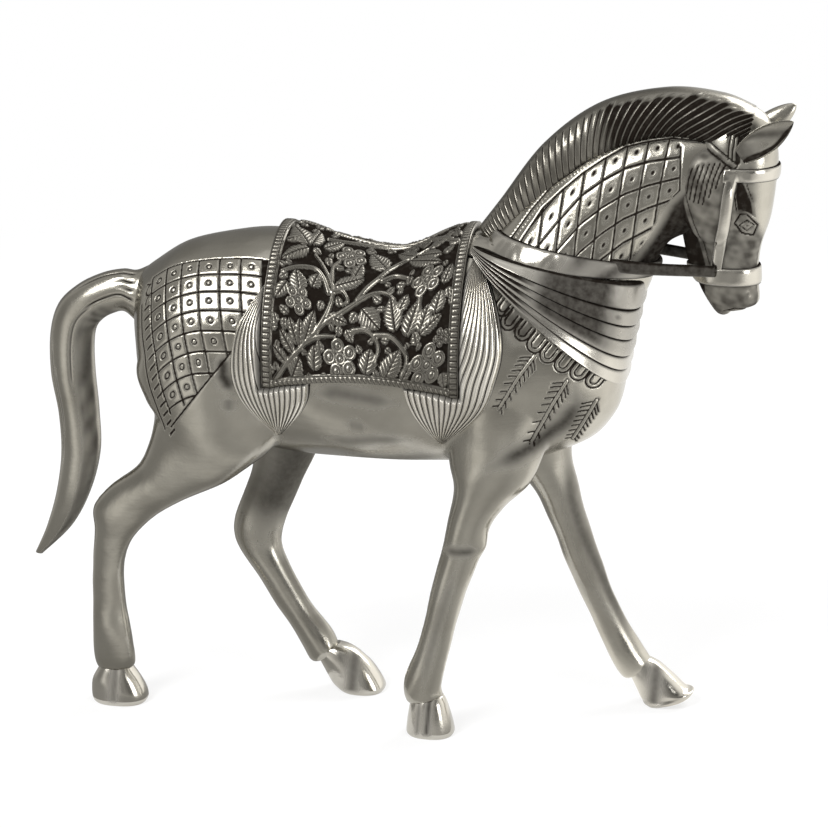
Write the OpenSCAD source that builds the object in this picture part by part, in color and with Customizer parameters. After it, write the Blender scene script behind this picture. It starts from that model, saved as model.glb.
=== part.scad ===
// Cast aluminium horse ornament in a walking stance, dressed with a saddle cloth,
// ribbed skirts, a pleated breast drape and a bridle. The body is two hollow half
// castings, and the neck, head, mane, ears, tail, shanks, hooves and dressings are
// separate pieces seated on them. The nose points to +X and the soles stand on z = 0.

/* [Body] */
// Height of the croup, behind the saddle cloth
croup_h = 199; // [190:0.5:208]
// Height of the back, under the saddle cloth
back_h = 192; // [187:0.5:197]
// Height of the withers, where the neck begins
withers_h = 201; // [194:0.5:208]
// Height of the belly above the ground
belly_h = 108.5; // [104:0.5:113]
// Width of the barrel
barrel_w = 74; // [66:0.5:82]
// Width of the rump between the haunches
rump_w = 68; // [60:0.5:74]
// Width of the chest
chest_w = 62; // [56:0.5:68]
// Distance from the origin back to the end of the rump
rump_reach = 105.5; // [103:0.5:109]
// Distance from the origin forward to the front of the chest
chest_reach = 92; // [89:0.5:95]
// Wall of the hollow half castings
wall = 4; // [3:0.25:6]
// Depth of the net that is engraved on the rump
net_depth = 0.7; // [0.4:0.1:1]

/* [Legs] */
// Distance between the soles of the forelegs, across the body
fore_spread = 48; // [40:0.5:54]
// Distance between the soles of the hind legs, across the body
hind_spread = 30; // [26:0.5:40]
// Height of the seam between forearm and fore shank
fore_seam_h = 84; // [78:0.5:90]
// Height of the seam between thigh and right hind shank
right_hind_seam_h = 97; // [94:0.5:100]
// Height of the seam between thigh and left hind shank
left_hind_seam_h = 92; // [88:0.5:96]
// Lip by which each upper leg overhangs its shank
seam_lip = 0.7; // [0.3:0.1:1.2]
// Thickness of a cannon, front to back
cannon_d = 13; // [11:0.25:15]
// Thickness of a fetlock, front to back
fetlock_d = 15; // [13.5:0.25:16.5]
// Thickness of a knee, front to back
knee_d = 15; // [13.5:0.25:17]
// Thickness of a hock, front to back
hock_d = 20.5; // [18:0.25:22.5]
// Height of a hoof
hoof_h = 15; // [13.5:0.25:16.5]
// Length of a sole
sole_l = 20; // [17:0.25:22]
// Width of a sole
sole_w = 18; // [15:0.25:20]
// Radius of the spigot on each shank
spigot_r = 3.5; // [2.5:0.1:4.5]
// Length of the spigot on each shank
spigot_l = 9; // [6:0.5:12]
// Radial gap of a spigot in its socket
fit_gap = 0.05; // [0.02:0.01:0.1]

/* [Neck and head] */
// Width of the neck at its base
neck_base_w = 52; // [46:0.5:56]
// Width of the neck at the throat
throat_w = 26; // [23:0.5:29]
// Width of the head across the eyes
head_w = 30; // [27:0.5:33]
// Width of the muzzle
muzzle_w = 19; // [16:0.5:22]
// Depth of the mane's section, from its crest down into the neck
mane_rise = 24; // [20:0.5:26]
// Width of the mane where it sits on the neck
mane_w = 19; // [15:0.5:23]
// Number of cut strands along the mane
mane_strands = 18; // [12:1:24]
// Length of an ear
ear_l = 24; // [21:0.5:27]
// Width of an ear
ear_w = 9.5; // [8:0.25:11]
// Distance between the tips of the ears
ear_spread = 26; // [24:0.5:32]
// Radius of the tenon under each ear
ear_tenon_r = 1.5; // [1:0.1:2]
// Length of the tenon under each ear
ear_tenon_l = 4; // [3:0.25:6]

/* [Tail] */
// Thickness of the tail at its middle
tail_d = 17; // [15:0.5:19]
// Distance that the tail stands out behind the rump
tail_reach = 48.5; // [45:0.5:52]
// Radius of the tenon that holds the tail
tail_tenon_r = 4; // [3:0.1:5]
// Length of the tenon that holds the tail
tail_tenon_l = 12; // [9:0.5:16]

/* [Saddle cloth] */
// Thickness of the saddle cloth
cloth_t = 2; // [1.4:0.1:3]
// Rear edge of the cloth, along the body
cloth_rear_x = -42; // [-46:0.5:-38]
// Front edge of the cloth, along the body
cloth_front_x = 28; // [24:0.5:31]
// Height of the hem at its corners
hem_h = 146; // [143:0.5:150]
// Rise of the hem towards its middle
hem_rise = 4.5; // [3:0.5:10]
// Width of the bindings along the front and rear edges
binding_w = 3.6; // [2.6:0.1:5]
// Height by which the bindings stand above the cloth
binding_rise = 0.7; // [0.3:0.1:1.2]
// Height by which the flowering vine stands above the cloth
vine_rise = 1.6; // [1:0.1:2.2]
// Width of a flower on the cloth
flower_w = 14; // [11:0.5:16]

/* [Skirts and drape] */
// Number of ribs on each skirt
skirt_ribs = 8; // [6:1:11]
// Height by which a skirt stands off the body
skirt_bulge = 5.5; // [4:0.25:7]
// Height of the ribs on a skirt
rib_rise = 1.1; // [0.6:0.1:1.6]
// How far the skirts hang, as a share of the way from the hem to the belly
skirt_share = 0.6; // [0.45:0.01:0.7]
// Number of pleats across the chest
pleats = 6; // [5:1:9]
// Height of a pleat
pleat_rise = 1.7; // [1:0.1:2.4]
// Thickness of the drape under its pleats
drape_t = 1.2; // [1:0.1:2]

/* [Bridle] */
// Width of the collar band at the front of the neck
band_w = 8; // [6:0.25:10]
// Thickness of the collar band
band_t = 2.2; // [1.6:0.1:3]
// Width of the noseband and the browband
strap_w = 7; // [5.5:0.25:8.5]
// Width of the cheek straps
cheek_strap_w = 4.5; // [3.5:0.25:6]
// Thickness of the bridle straps
strap_t = 1.2; // [0.8:0.1:1.8]
// Thickness of the reins
rein_d = 4; // [3:0.25:5]

/* [Hidden] */
$fn = 48;

RIGHT = -1;
LEFT = 1;
SILVER = [0.68, 0.67, 0.64];
BRIGHT = [0.80, 0.79, 0.77];
AGED = [0.47, 0.45, 0.42];

// Far beyond any piece, for half spaces and cuts
far = 400;

// Smooth curve through the rows of a table: the row at s, from 0 to 1
function between(p0, p1, p2, p3, f) =
    0.5 * (2 * p1 + (p2 - p0) * f + (2 * p0 - 5 * p1 + 4 * p2 - p3) * f * f
           + (3 * p1 - p0 - 3 * p2 + p3) * f * f * f);
function row_at(rows, s) =
    let (last = len(rows) - 1, i = min(floor(s * last), last - 1))
    between(rows[max(i - 1, 0)], rows[i], rows[i + 1], rows[min(i + 2, last)], s * last - i);
function smooth(rows, steps) = [for (k = [0:steps]) row_at(rows, k / steps)];
function ease(f) = f * f * (3 - 2 * f);
function scallop(f, count) = abs(sin(180 * count * f));

// A section row is [x1, z1, x2, z2, half width, y]: an oval between two points of the
// side view, one on each outline, at that distance from the midplane
function ring(row, sides, turn = 1) =
    [for (j = [0:sides - 1])
        let (c = cos(360 * j / sides), s = turn * sin(360 * j / sides))
        [(row[0] + row[2]) / 2 + (row[0] - row[2]) / 2 * c,
         row[5] + row[4] * s,
         (row[1] + row[3]) / 2 + (row[1] - row[3]) / 2 * c]];
// Which way round the rings run, so that the skin always faces outwards
function turn_of(rows) =
    let (lean = [for (i = [0:len(rows) - 2])
             let (r = rows[i], q = rows[i + 1])
             (r[0] - r[2]) * (q[1] + q[3] - r[1] - r[3]) - (r[1] - r[3]) * (q[0] + q[2] - r[0] - r[2])])
    lean * [for (v = lean) 1] > 0 ? -1 : 1;
function grown(rows, by) =
    [for (r = rows)
        let (d = [r[0] - r[2], r[1] - r[3]], n = d / max(norm(d), 0.01) * by)
        [r[0] + n[0], r[1] + n[1], r[2] - n[0], r[3] - n[1], r[4] + by, r[5]]];
function mirrored(rows) = [for (r = rows) [r[0], r[1], r[2], r[3], r[4], -r[5]]];

// Solid through a list of rings with equally many points
module skin(rings) {
    sides = len(rings[0]);
    last = len(rings) - 1;
    polyhedron(
        points = [for (r = rings) for (p = r) p],
        faces = concat(
            [for (i = [0:last - 1]) for (j = [0:sides - 1])
                let (a = i * sides + j, b = i * sides + (j + 1) % sides) each
                [[a, b, b + sides], [a, b + sides, a + sides]]],
            [for (j = [1:sides - 2]) [0, j + 1, j]],
            [for (j = [1:sides - 2]) [last * sides, last * sides + j, last * sides + j + 1]]
        ),
        convexity = 6);
}

module loft(rows, steps, sides) {
    skin([for (r = smooth(rows, steps)) ring(r, sides, turn_of(rows))]);
}

// Joins all the forms of one casting into one surface
module casting() {
    resize([0, 0, 0]) children();
}

module above(z) {
    translate([-far, -far, z]) cube([2 * far, 2 * far, far]);
}

module below(z) {
    translate([-far, -far, z - far]) cube([2 * far, 2 * far, far]);
}

module side_of(side) {
    translate([-far, side == LEFT ? 0 : -far, -far]) cube([2 * far, far, 2 * far]);
}

module spigot(x, y, z, r, l) {
    translate([x, y, z]) cylinder(r = r, h = l);
}

// Barrel, from the rump to the chest
mid_h = (croup_h + belly_h) / 2;
torso_rows = [
    [-rump_reach, mid_h + 17, -rump_reach, mid_h - 3, 5, 0],
    [-rump_reach + 6, croup_h - 17, -rump_reach + 6, mid_h - 22, rump_w / 2 - 10, 0],
    [-rump_reach + 21, croup_h - 5, -rump_reach + 21, belly_h + 11, rump_w / 2, 0],
    [-rump_reach + 44, croup_h, -rump_reach + 44, belly_h + 4, barrel_w / 2 - 1, 0],
    [cloth_rear_x + 2, croup_h + 0.5, cloth_rear_x + 2, belly_h + 1, barrel_w / 2, 0],
    [cloth_rear_x + 22, back_h + 2, cloth_rear_x + 22, belly_h, barrel_w / 2, 0],
    [4, back_h, 4, belly_h, barrel_w / 2, 0],
    [chest_reach - 63, withers_h + 1, chest_reach - 63, belly_h + 1, barrel_w / 2 - 1, 0],
    [chest_reach - 35, withers_h - 3, chest_reach - 35, belly_h + 4, chest_w / 2 + 3, 0],
    [chest_reach - 14, withers_h - 13, chest_reach - 14, belly_h + 11, chest_w / 2 - 2, 0],
    [chest_reach - 3.5, withers_h - 26, chest_reach - 3.5, belly_h + 23, chest_w / 2 - 12, 0],
    [chest_reach, withers_h - 42, chest_reach, belly_h + 36, 4, 0]
];
torso_steps = 20;
torso_sides = 22;
torso_table = smooth(torso_rows, 60);
function torso_half_w(x) = lookup(x, [for (r = torso_table) [r[0], r[4]]]);
function torso_top(x) = lookup(x, [for (r = torso_table) [r[0], r[1]]]);
function torso_bottom(x) = lookup(x, [for (r = torso_table) [r[0], r[3]]]);
// Distance of the barrel's side from the midplane
function torso_y(x, z) =
    let (top = torso_top(x), bottom = torso_bottom(x), c = (2 * z - top - bottom) / (top - bottom))
    torso_half_w(x) * sqrt(max(0, 1 - c * c));

module torso(by = 0) {
    loft(grown(torso_rows, by), torso_steps, torso_sides);
}

// Legs. A pose is the line of a leg in the side view, from the body to the coronet
// with x measured from the shoulder or the haunch
shoulder_x = chest_reach - 42;
haunch_x = -rump_reach + 33.5;
fore_pose_right = [[0, 164], [-3, 145], [-8, 114], [-12.5, 101], [-16.8, 90], [-20.3, 75],
                   [-24.8, 60], [-30, 38], [-34.5, 21], [-33, hoof_h]];
fore_pose_left = [[4, 164], [4, 145], [2, 114], [8.5, 101], [13.2, 90], [18.3, 75],
                  [23.8, 60], [33.2, 38], [42, 21], [45.5, hoof_h]];
hind_pose_right = [[0, 170], [0, 150], [2.5, 128], [-5.5, 112.5], [-21, 97.5], [-38, 84],
                   [-44.8, 66], [-47, 45], [-46, 25], [-45, hoof_h]];
hind_pose_left = [[6, 170], [10, 150], [18, 128], [21, 110], [18, 92], [9, 66],
                  [16.5, 49.5], [26.5, 33], [35, 21], [38.5, hoof_h]];
fore_depth = [24, 42, 35, 22, 17, knee_d, knee_d - 0.8, cannon_d, fetlock_d, cannon_d];
fore_width = [14, 26, 27, 21, 17, 15, 14, 11.5, 13.5, 12.5];
hind_depth = [34, 58, 55, 36.5, 22.5, hock_d, cannon_d + 1.2, cannon_d, fetlock_d + 0.5, cannon_d + 0.5];
hind_width = [18, 32, 31, 25, 18, 15, 12.5, 11.5, 13.5, 12.5];
fore_body_y = 20;
hind_body_y = 21.5;

function leg_y(i, count, inner, spread) = inner + (spread / 2 - inner) * ease(i / (count - 1));
function leg_rows(pose, x0, depth, width, inner, spread) =
    [for (i = [0:len(pose) - 1])
        let (along = pose[min(i + 1, len(pose) - 1)] - pose[max(i - 1, 0)],
             n = [-along[1], along[0]] / norm(along) * depth[i] / 2)
        [x0 + pose[i][0] + n[0], pose[i][1] + n[1], x0 + pose[i][0] - n[0], pose[i][1] - n[1],
         width[i] / 2, leg_y(i, len(pose), inner, spread)]];
// The leg runs on into its hoof, so that the coronet cut goes through a full section
function with_foot(rows) =
    let (r = rows[len(rows) - 1], drop = 6)
    concat(rows, [[r[0] + 1, r[1] - drop, r[2] + 1, r[3] - drop, r[4], r[5]]]);
function on_side(rows, side) = side == LEFT ? rows : mirrored(rows);
function fore_rows(side) =
    on_side(with_foot(leg_rows(side == LEFT ? fore_pose_left : fore_pose_right, shoulder_x,
                               fore_depth, fore_width, fore_body_y, fore_spread)), side);
function hind_rows(side) =
    on_side(with_foot(leg_rows(side == LEFT ? hind_pose_left : hind_pose_right, haunch_x,
                               hind_depth, hind_width, hind_body_y, hind_spread)), side);
// Centre of a leg at a height, found on its smoothed rows
function leg_centre(rows, z) =
    let (t = smooth(rows, 80),
         x = lookup(-z, [for (r = t) [-(r[1] + r[3]) / 2, (r[0] + r[2]) / 2]]),
         y = lookup(-z, [for (r = t) [-(r[1] + r[3]) / 2, r[5]]]))
    [x, y];
function hind_seam_h(side) = side == LEFT ? left_hind_seam_h : right_hind_seam_h;
function fore_seat(side) = leg_centre(fore_rows(side), fore_seam_h);
function hind_seat(side) = leg_centre(hind_rows(side), hind_seam_h(side));

fore_steps = 17;
hind_steps = 17;
leg_sides = 10;

module upper_leg(rows, steps, seam) {
    intersection() {
        loft(grown(rows, seam_lip), steps, leg_sides);
        above(seam);
    }
}

module upper_legs(side) {
    upper_leg(fore_rows(side), fore_steps, fore_seam_h);
    upper_leg(hind_rows(side), hind_steps, hind_seam_h(side));
}

module leg_sockets(side) {
    for (seat = [concat(fore_seat(side), fore_seam_h), concat(hind_seat(side), hind_seam_h(side))])
        spigot(seat[0], seat[1], seat[2] - 1, spigot_r + fit_gap, spigot_l + 2);
}

// Half casting of the body: barrel, haunch and shoulder, hollow inside the barrel
cavity_rows = grown([for (i = [1:len(torso_rows) - 2]) torso_rows[i]], -wall);
neck_spigot_x = chest_reach - 32;
neck_spigot_r = 9;
neck_spigot_z = withers_h - 24;
neck_spigot_l = 30;
tail_root_z = croup_h - 27;

// Net on the rump, in the side view: its main lines, crossed between the tail and the cloth
net_line = 1.3;
net_gap = 14;
net_columns = 3;
net_rows = 2;
net_lean = 10;
net_slope = 9;
net_x = -rump_reach + 21;
net_z = mid_h - 15;
net_l = 34;
net_h = 41;

module rump_net() {
    rotate([90, 0, 0]) linear_extrude(height = 2 * far, center = true) translate([net_x, net_z]) {
        for (i = [0:net_columns - 1]) translate([i * net_gap, i * net_gap / 2]) rotate(net_lean)
            square([net_line, net_h - i * net_gap / 3]);
        for (i = [1:net_rows]) translate([-net_gap / 2, i * net_gap]) rotate(net_slope)
            square([net_l, net_line]);
    }
}

module chased_torso() {
    difference() {
        torso();
        intersection() {
            difference() {
                torso(1);
                torso(-net_depth);
            }
            rump_net();
        }
    }
}

module body_half(side) {
    color(SILVER) difference() {
        casting() intersection() {
            difference() {
                union() {
                    chased_torso();
                    upper_legs(side);
                }
                loft(cavity_rows, 6, 10);
            }
            side_of(side);
        }
        leg_sockets(side);
        spigot(neck_spigot_x, 0, neck_spigot_z - 1, neck_spigot_r + fit_gap, neck_spigot_l + 1);
        translate([-rump_reach - 2, 0, tail_root_z]) rotate([0, 90, 0])
            cylinder(r = tail_tenon_r + fit_gap, h = tail_tenon_l + 4);
    }
}

// Shanks and hooves
module shank(rows, steps, seam, seat) {
    color(SILVER) {
        intersection() {
            loft(rows, steps, leg_sides);
            above(hoof_h);
            below(seam);
        }
        spigot(seat[0], seat[1], seam - 2, spigot_r, spigot_l + 2);
    }
}

module hoof(rows, sole_x) {
    coronet = leg_centre(rows, hoof_h);
    x = coronet[0];
    y = coronet[1];
    half_d = cannon_d / 2;
    lift = 0.4;
    back = sole_x - sole_l / 2;
    front = sole_x + sole_l / 2;
    color(BRIGHT) intersection() {
        loft([
            [x - half_d, hoof_h + 1, x + half_d + 1, hoof_h + 1, sole_w / 2 - 2.6, y],
            [x - half_d - 1, hoof_h - 2, x + half_d + 2, hoof_h - 2, sole_w / 2 - 1.6, y],
            [back - 0.5, hoof_h / 2, front - 3, hoof_h / 2, sole_w / 2 - 0.6, y],
            [back, lift, front, lift, sole_w / 2, y],
            [back, -2, front + 0.5, -2, sole_w / 2, y]
        ], 6, leg_sides);
        above(0);
        below(hoof_h);
    }
}

// Where each sole stands along the body
fore_sole_right = shoulder_x - 32;
fore_sole_left = shoulder_x + 57;
hind_sole_right = haunch_x - 42.5;
hind_sole_left = haunch_x + 52.5;

// Neck, from the withers to the throat
neck_rows = [
    [36, withers_h - 3, chest_reach, withers_h - 33, neck_base_w / 2, 0],
    [43, withers_h + 7, chest_reach + 7, withers_h - 17, neck_base_w / 2 - 3, 0],
    [55, withers_h + 20, chest_reach + 11, withers_h - 6, neck_base_w / 2 - 6.5, 0],
    [71, withers_h + 33, chest_reach + 15, withers_h + 0.5, throat_w / 2 + 4.5, 0],
    [91, withers_h + 42, chest_reach + 19.5, withers_h + 4, throat_w / 2 + 2, 0],
    [114, withers_h + 46, chest_reach + 25.5, withers_h + 7, throat_w / 2, 0],
    [124, withers_h + 46, chest_reach + 33, withers_h + 18, throat_w / 2 - 2, 0]
];
module neck_form(by = 0) {
    loft(grown(neck_rows, by), 12, 20);
}

module neck() {
    color(SILVER) difference() {
        union() {
            casting() difference() {
                neck_form();
                torso();
                head_form();
            }
            spigot(neck_spigot_x, 0, neck_spigot_z, neck_spigot_r, neck_spigot_l);
        }
        head_spigot(fit_gap);
    }
}

// Head, hung almost upright from the poll to the lips
poll_h = withers_h + 54;
head_rows = [
    [130, poll_h + 1, 139, poll_h + 0.5, 5, 0],
    [120, poll_h - 5, 145, poll_h - 5, head_w / 2 - 3.5, 0],
    [113, poll_h - 16, 147.5, poll_h - 18, head_w / 2, 0],
    [110, poll_h - 28, 146.8, poll_h - 30, head_w / 2 + 0.5, 0],
    [110.5, poll_h - 40, 145, poll_h - 42, head_w / 2 - 1.5, 0],
    [113, poll_h - 51, 142, poll_h - 53, muzzle_w / 2 + 2, 0],
    [115.5, poll_h - 61, 141.3, poll_h - 61, muzzle_w / 2 + 0.5, 0],
    [118, poll_h - 69, 141.6, poll_h - 69, muzzle_w / 2 + 0.5, 0],
    [121.5, poll_h - 75, 141.6, poll_h - 74, muzzle_w / 2 - 0.5, 0],
    [125, poll_h - 81, 138, poll_h - 78, 5, 0]
];
head_spigot_z = poll_h - 25;
head_spigot_r = 6;
head_spigot_x = 100;

module head_spigot(by = 0) {
    translate([head_spigot_x - by, 0, head_spigot_z]) rotate([0, 90, 0])
        cylinder(r = head_spigot_r + by, h = 20 + by);
}

module head_form(by = 0) {
    loft(grown(head_rows, by), 16, 16);
}

// Ears, leaf shaped and hollowed, leaning forward from behind the browband
ear_base = [134.5, 11.5, poll_h - 17];
ear_tilt_right = 53;
ear_tilt_left = 46;
ear_splay = asin(min(0.9, max(0, (ear_spread / 2 - ear_base[1]) / ear_l)));

module ear_frame(side) {
    translate([ear_base[0], side * ear_base[1], ear_base[2]])
        rotate([-side * ear_splay, 0, 0])
            rotate([0, side == LEFT ? ear_tilt_left : ear_tilt_right, 0]) children();
}

module ear(side) {
    color(SILVER) {
        casting() difference() {
            ear_frame(side) difference() {
                loft([
                    [-ear_w * 0.30, -2, ear_w * 0.30, -2, ear_w * 0.28, 0],
                    [-ear_w * 0.42, ear_l * 0.25, ear_w * 0.42, ear_l * 0.25, ear_w * 0.32, 0],
                    [-ear_w * 0.50, ear_l * 0.55, ear_w * 0.50, ear_l * 0.55, ear_w * 0.30, 0],
                    [-ear_w * 0.34, ear_l * 0.82, ear_w * 0.34, ear_l * 0.82, ear_w * 0.20, 0],
                    [-0.6, ear_l, 0.6, ear_l, 0.5, 0]
                ], 8, 12);
                translate([0, side * ear_w * 0.34, ear_l * 0.58])
                    scale([ear_w * 0.34, ear_w * 0.30, ear_l * 0.34]) sphere(r = 1, $fn = 8);
            }
            head_form();
        }
        ear_frame(side) translate([0, 0, -ear_tenon_l]) cylinder(r = ear_tenon_r, h = ear_tenon_l + 5);
    }
}

module ear_bores() {
    for (side = [RIGHT, LEFT])
        ear_frame(side) translate([0, 0, -ear_tenon_l - fit_gap])
            cylinder(r = ear_tenon_r + fit_gap, h = ear_tenon_l + ear_l / 2);
}

module head() {
    color(SILVER) difference() {
        union() {
            head_form();
            head_spigot();
        }
        ear_bores();
    }
}

// Mane, a cropped crest of combed strands from the withers to the forelock
crest_in = 10;
mane_rows = [
    [33, withers_h + 3.5, 48, withers_h - 7, mane_w / 2 - 2.5, 0],
    [41.5, withers_h + 15, 58, withers_h + 17 - mane_rise, mane_w / 2 - 0.5, 0],
    [58, withers_h + 37.5, 71, withers_h + 43 - mane_rise - crest_in, mane_w / 2, 0],
    [79.5, withers_h + 54, 87, withers_h + 53 - mane_rise - crest_in, mane_w / 2, 0],
    [105, withers_h + 60.7, 106, withers_h + 59 - mane_rise - crest_in, mane_w / 2, 0],
    [126, withers_h + 59.3, 122, withers_h + 52 - mane_rise, mane_w / 2 - 1, 0],
    [140, withers_h + 53.5, 133, withers_h + 50 - mane_rise / 2, mane_w / 2 - 3, 0]
];

module mane_crest() {
    rings = smooth(mane_rows, 2 * mane_strands);
    cut = 0.9;
    color(AGED) casting() difference() {
        skin([for (k = [0:2 * mane_strands])
            ring(k % 2 == 0 ? rings[k] : grown([rings[k]], -cut)[0], 10, turn_of(mane_rows))]);
        neck_form();
        head_form();
        torso();
    }
}

// Tail, arched out of the rump and hanging to a point
tail_x = -rump_reach;
tail_out = tail_x - tail_reach;
tail_rows = [
    [tail_x + 8, tail_root_z + 12.5, tail_x + 8, tail_root_z - 20, tail_d / 2, 0],
    [tail_x - 3, tail_root_z + 8, tail_x - 3, tail_root_z - 11.5, tail_d / 2 - 0.4, 0],
    [tail_x - 15.5, tail_root_z + 6.5, tail_x - 11.5, tail_root_z - 10, tail_d / 2 - 0.5, 0],
    [tail_x - 26, tail_root_z + 1, tail_out + 32.5, tail_root_z - 13, tail_d / 2, 0],
    [tail_out + 12.5, tail_root_z - 10, tail_out + 29, tail_root_z - 20, tail_d / 2, 0],
    [tail_out + 9, tail_root_z - 36, tail_out + 28.5, tail_root_z - 36, tail_d / 2, 0],
    [tail_out + 12.5, tail_root_z - 53, tail_out + 29.5, tail_root_z - 52, tail_d / 2, 0],
    [tail_out + 12.5, tail_root_z - 70, tail_out + 29.5, tail_root_z - 69, tail_d / 2 - 0.5, 0],
    [tail_out + 10, tail_root_z - 87, tail_out + 25, tail_root_z - 86, tail_d / 2 - 1.5, 0],
    [tail_out + 5.5, tail_root_z - 103, tail_out + 16.5, tail_root_z - 102, tail_d / 2 - 4, 0],
    [tail_out, tail_root_z - 115, tail_out + 3, tail_root_z - 115.6, 1.5, 0]
];

module tail() {
    color(SILVER) {
        casting() difference() {
            loft(tail_rows, 20, 12);
            torso();
        }
        translate([tail_x - 6, 0, tail_root_z]) rotate([0, 90, 0])
            cylinder(r = tail_tenon_r, h = tail_tenon_l + 6);
    }
}

// Saddle cloth over the back, with a hem that arches between its corners
cloth_mid_x = (cloth_rear_x + cloth_front_x) / 2;
function hem_z(x) =
    hem_h + hem_rise * pow(max(0, cos(180 * (x - cloth_mid_x) / (cloth_front_x - cloth_rear_x))), 0.7);

module cloth_outline(x1, x2) {
    parts = 12;
    rotate([90, 0, 0]) linear_extrude(height = 2 * far, center = true)
        polygon(concat(
            [for (i = [0:parts]) let (x = x1 + (x2 - x1) * i / parts) [x, hem_z(x)]],
            [[x2, far], [x1, far]]));
}

module wrap(x1, x2, t) {
    casting() intersection() {
        difference() {
            torso(t);
            torso();
            upper_legs(RIGHT);
            upper_legs(LEFT);
        }
        cloth_outline(x1, x2);
    }
}

// Vine on the cloth, as flat bosses. A place is a share of the cloth's length, from the
// rear, and of its height, from the hem. A leaf also has the angle that it grows at
vine_stem = [[0.06, 0.12], [0.28, 0.5], [0.52, 0.72], [0.74, 0.86]];
vine_flowers = [[0.39, 0.36], [0.86, 0.28], [0.13, 0.74]];
vine_leaves = [[0.64, 0.58, -50], [0.84, 0.7, -65], [0.63, 0.33, 60]];
stem_w = 2.2;
leaf_l = 13;
leaf_w = 7;
petals = 5;
petal_cut = 0.86;

function cloth_x(v) = cloth_rear_x + (cloth_front_x - cloth_rear_x) * v[0];
function cloth_z(v) = hem_h + (back_h - hem_h) * v[1];
// How far the barrel's side leans back from upright at a place on the cloth
function cloth_tilt(v) =
    let (x = cloth_x(v), h = (torso_top(x) - torso_bottom(x)) / 2, c = (cloth_z(v) - torso_bottom(x)) / h - 1)
    atan2(c / h, sqrt(1 - c * c) / torso_half_w(x));

// Stands a flat boss on the right side of the cloth
module on_cloth(v, turn = 0) {
    translate([cloth_x(v), -torso_y(cloth_x(v), cloth_z(v)), cloth_z(v)])
        rotate([90 - cloth_tilt(v), 0, 0]) rotate(turn)
            linear_extrude(height = cloth_t + vine_rise) children();
}

module vine() {
    for (i = [0:len(vine_stem) - 2]) {
        p = vine_stem[i];
        q = vine_stem[i + 1];
        along = [cloth_x(q) - cloth_x(p), (cloth_z(q) - cloth_z(p)) / cos(cloth_tilt((p + q) / 2))];
        on_cloth((p + q) / 2, atan2(along[1], along[0])) square([norm(along), stem_w], center = true);
    }
    for (v = vine_flowers) on_cloth(v)
        polygon([for (k = [0:2 * petals - 1])
            flower_w / 2 * (k % 2 == 0 ? 1 : petal_cut) * [cos(180 * k / petals), sin(180 * k / petals)]]);
    for (v = vine_leaves) on_cloth(v, v[2])
        polygon([[-leaf_l / 2, 0], [0, -leaf_w / 2], [leaf_l / 2, 0], [0, leaf_w / 2]]);
}

module saddle_cloth() {
    color(AGED) casting() difference() {
        union() {
            wrap(cloth_rear_x, cloth_front_x, cloth_t);
            for (m = [0, 1]) mirror([0, m, 0]) vine();
        }
        torso();
    }
}

module rear_binding() {
    color(SILVER) wrap(cloth_rear_x - binding_w, cloth_rear_x, cloth_t + binding_rise);
}

module front_binding() {
    color(SILVER) wrap(cloth_front_x, cloth_front_x + binding_w, cloth_t + binding_rise);
}

// Ribbed skirts that swell out below and beside the cloth and gather to a point.
// A skirt row is [z, rear x, front x], from the top to the point
rear_edge = cloth_rear_x - binding_w;
front_edge = cloth_front_x + binding_w;
rear_skirt_top = croup_h - 13.5;
front_skirt_top = withers_h - 3.5;
skirt_drop = (hem_h - belly_h) * skirt_share;
function skirt_z(top, share) = hem_h + (top - hem_h) * share;
rear_skirt_rows = [
    [rear_skirt_top, rear_edge + 0.5, rear_edge + 2.5],
    [skirt_z(rear_skirt_top, 0.56), rear_edge - 10, rear_edge + 9],
    [skirt_z(rear_skirt_top, 0.2), rear_edge - 13, rear_edge + 17],
    [hem_h - 2, rear_edge - 11.5, rear_edge + 18],
    [hem_h - skirt_drop / 2, rear_edge - 6.5, rear_edge + 14],
    [hem_h - skirt_drop, rear_edge + 4, rear_edge + 6]
];
front_skirt_rows = [
    [front_skirt_top, front_edge + 3, front_edge + 5],
    [skirt_z(front_skirt_top, 0.69), front_edge - 4, front_edge + 13],
    [skirt_z(front_skirt_top, 0.37), front_edge - 14, front_edge + 16.5],
    [skirt_z(front_skirt_top, 0.1), front_edge - 21, front_edge + 14],
    [hem_h - skirt_drop / 3, front_edge - 18, front_edge + 8.5],
    [hem_h - skirt_drop, front_edge - 8, front_edge - 6]
];

module skirt(rows, side) {
    steps = 7;
    across = 2 * skirt_ribs;
    depth = 6;
    edges = smooth(rows, steps);
    function point(k, i, out) =
        let (e = edges[k], s = i / across, x = e[1] + (e[2] - e[1]) * s,
             swell = sqrt(max(0, 1 - pow(2 * s - 1, 2))) * sqrt(sin(180 * (k + 0.6) / (steps + 1.2))),
             y = torso_y(x, e[0])
                 + (out ? skirt_bulge * swell + rib_rise * scallop(s, skirt_ribs) : -depth))
        [x, side * y, e[0]];
    rings = [for (k = [0:steps])
        concat([for (i = [0:across]) point(k, i, true)],
               [for (i = [across:-1:0]) point(k, i, false)])];
    color(BRIGHT) casting() difference() {
        skin(side == RIGHT ? rings : [for (r = rings) [for (i = [len(r) - 1:-1:0]) r[i]]]);
        torso();
        upper_legs(side);
        cloth_outline(rear_edge, front_edge);
    }
}

// Breast drape: a fan of pleats that leaves the front of the cloth at the withers and
// opens round the chest. Each pleat lies in a plane through a line across the withers
fan_x = cloth_front_x + binding_w;
fan_z = withers_h - 1;
fan_top = 10;
fan_bottom = 41;
fan_front_top = chest_reach + 5.5;
fan_front_bottom = chest_reach + 0.5;
fan_round = 0.65;
// Room for the folds between the chest and the drape
fan_clear = 2;
fan_start = 24;

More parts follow.
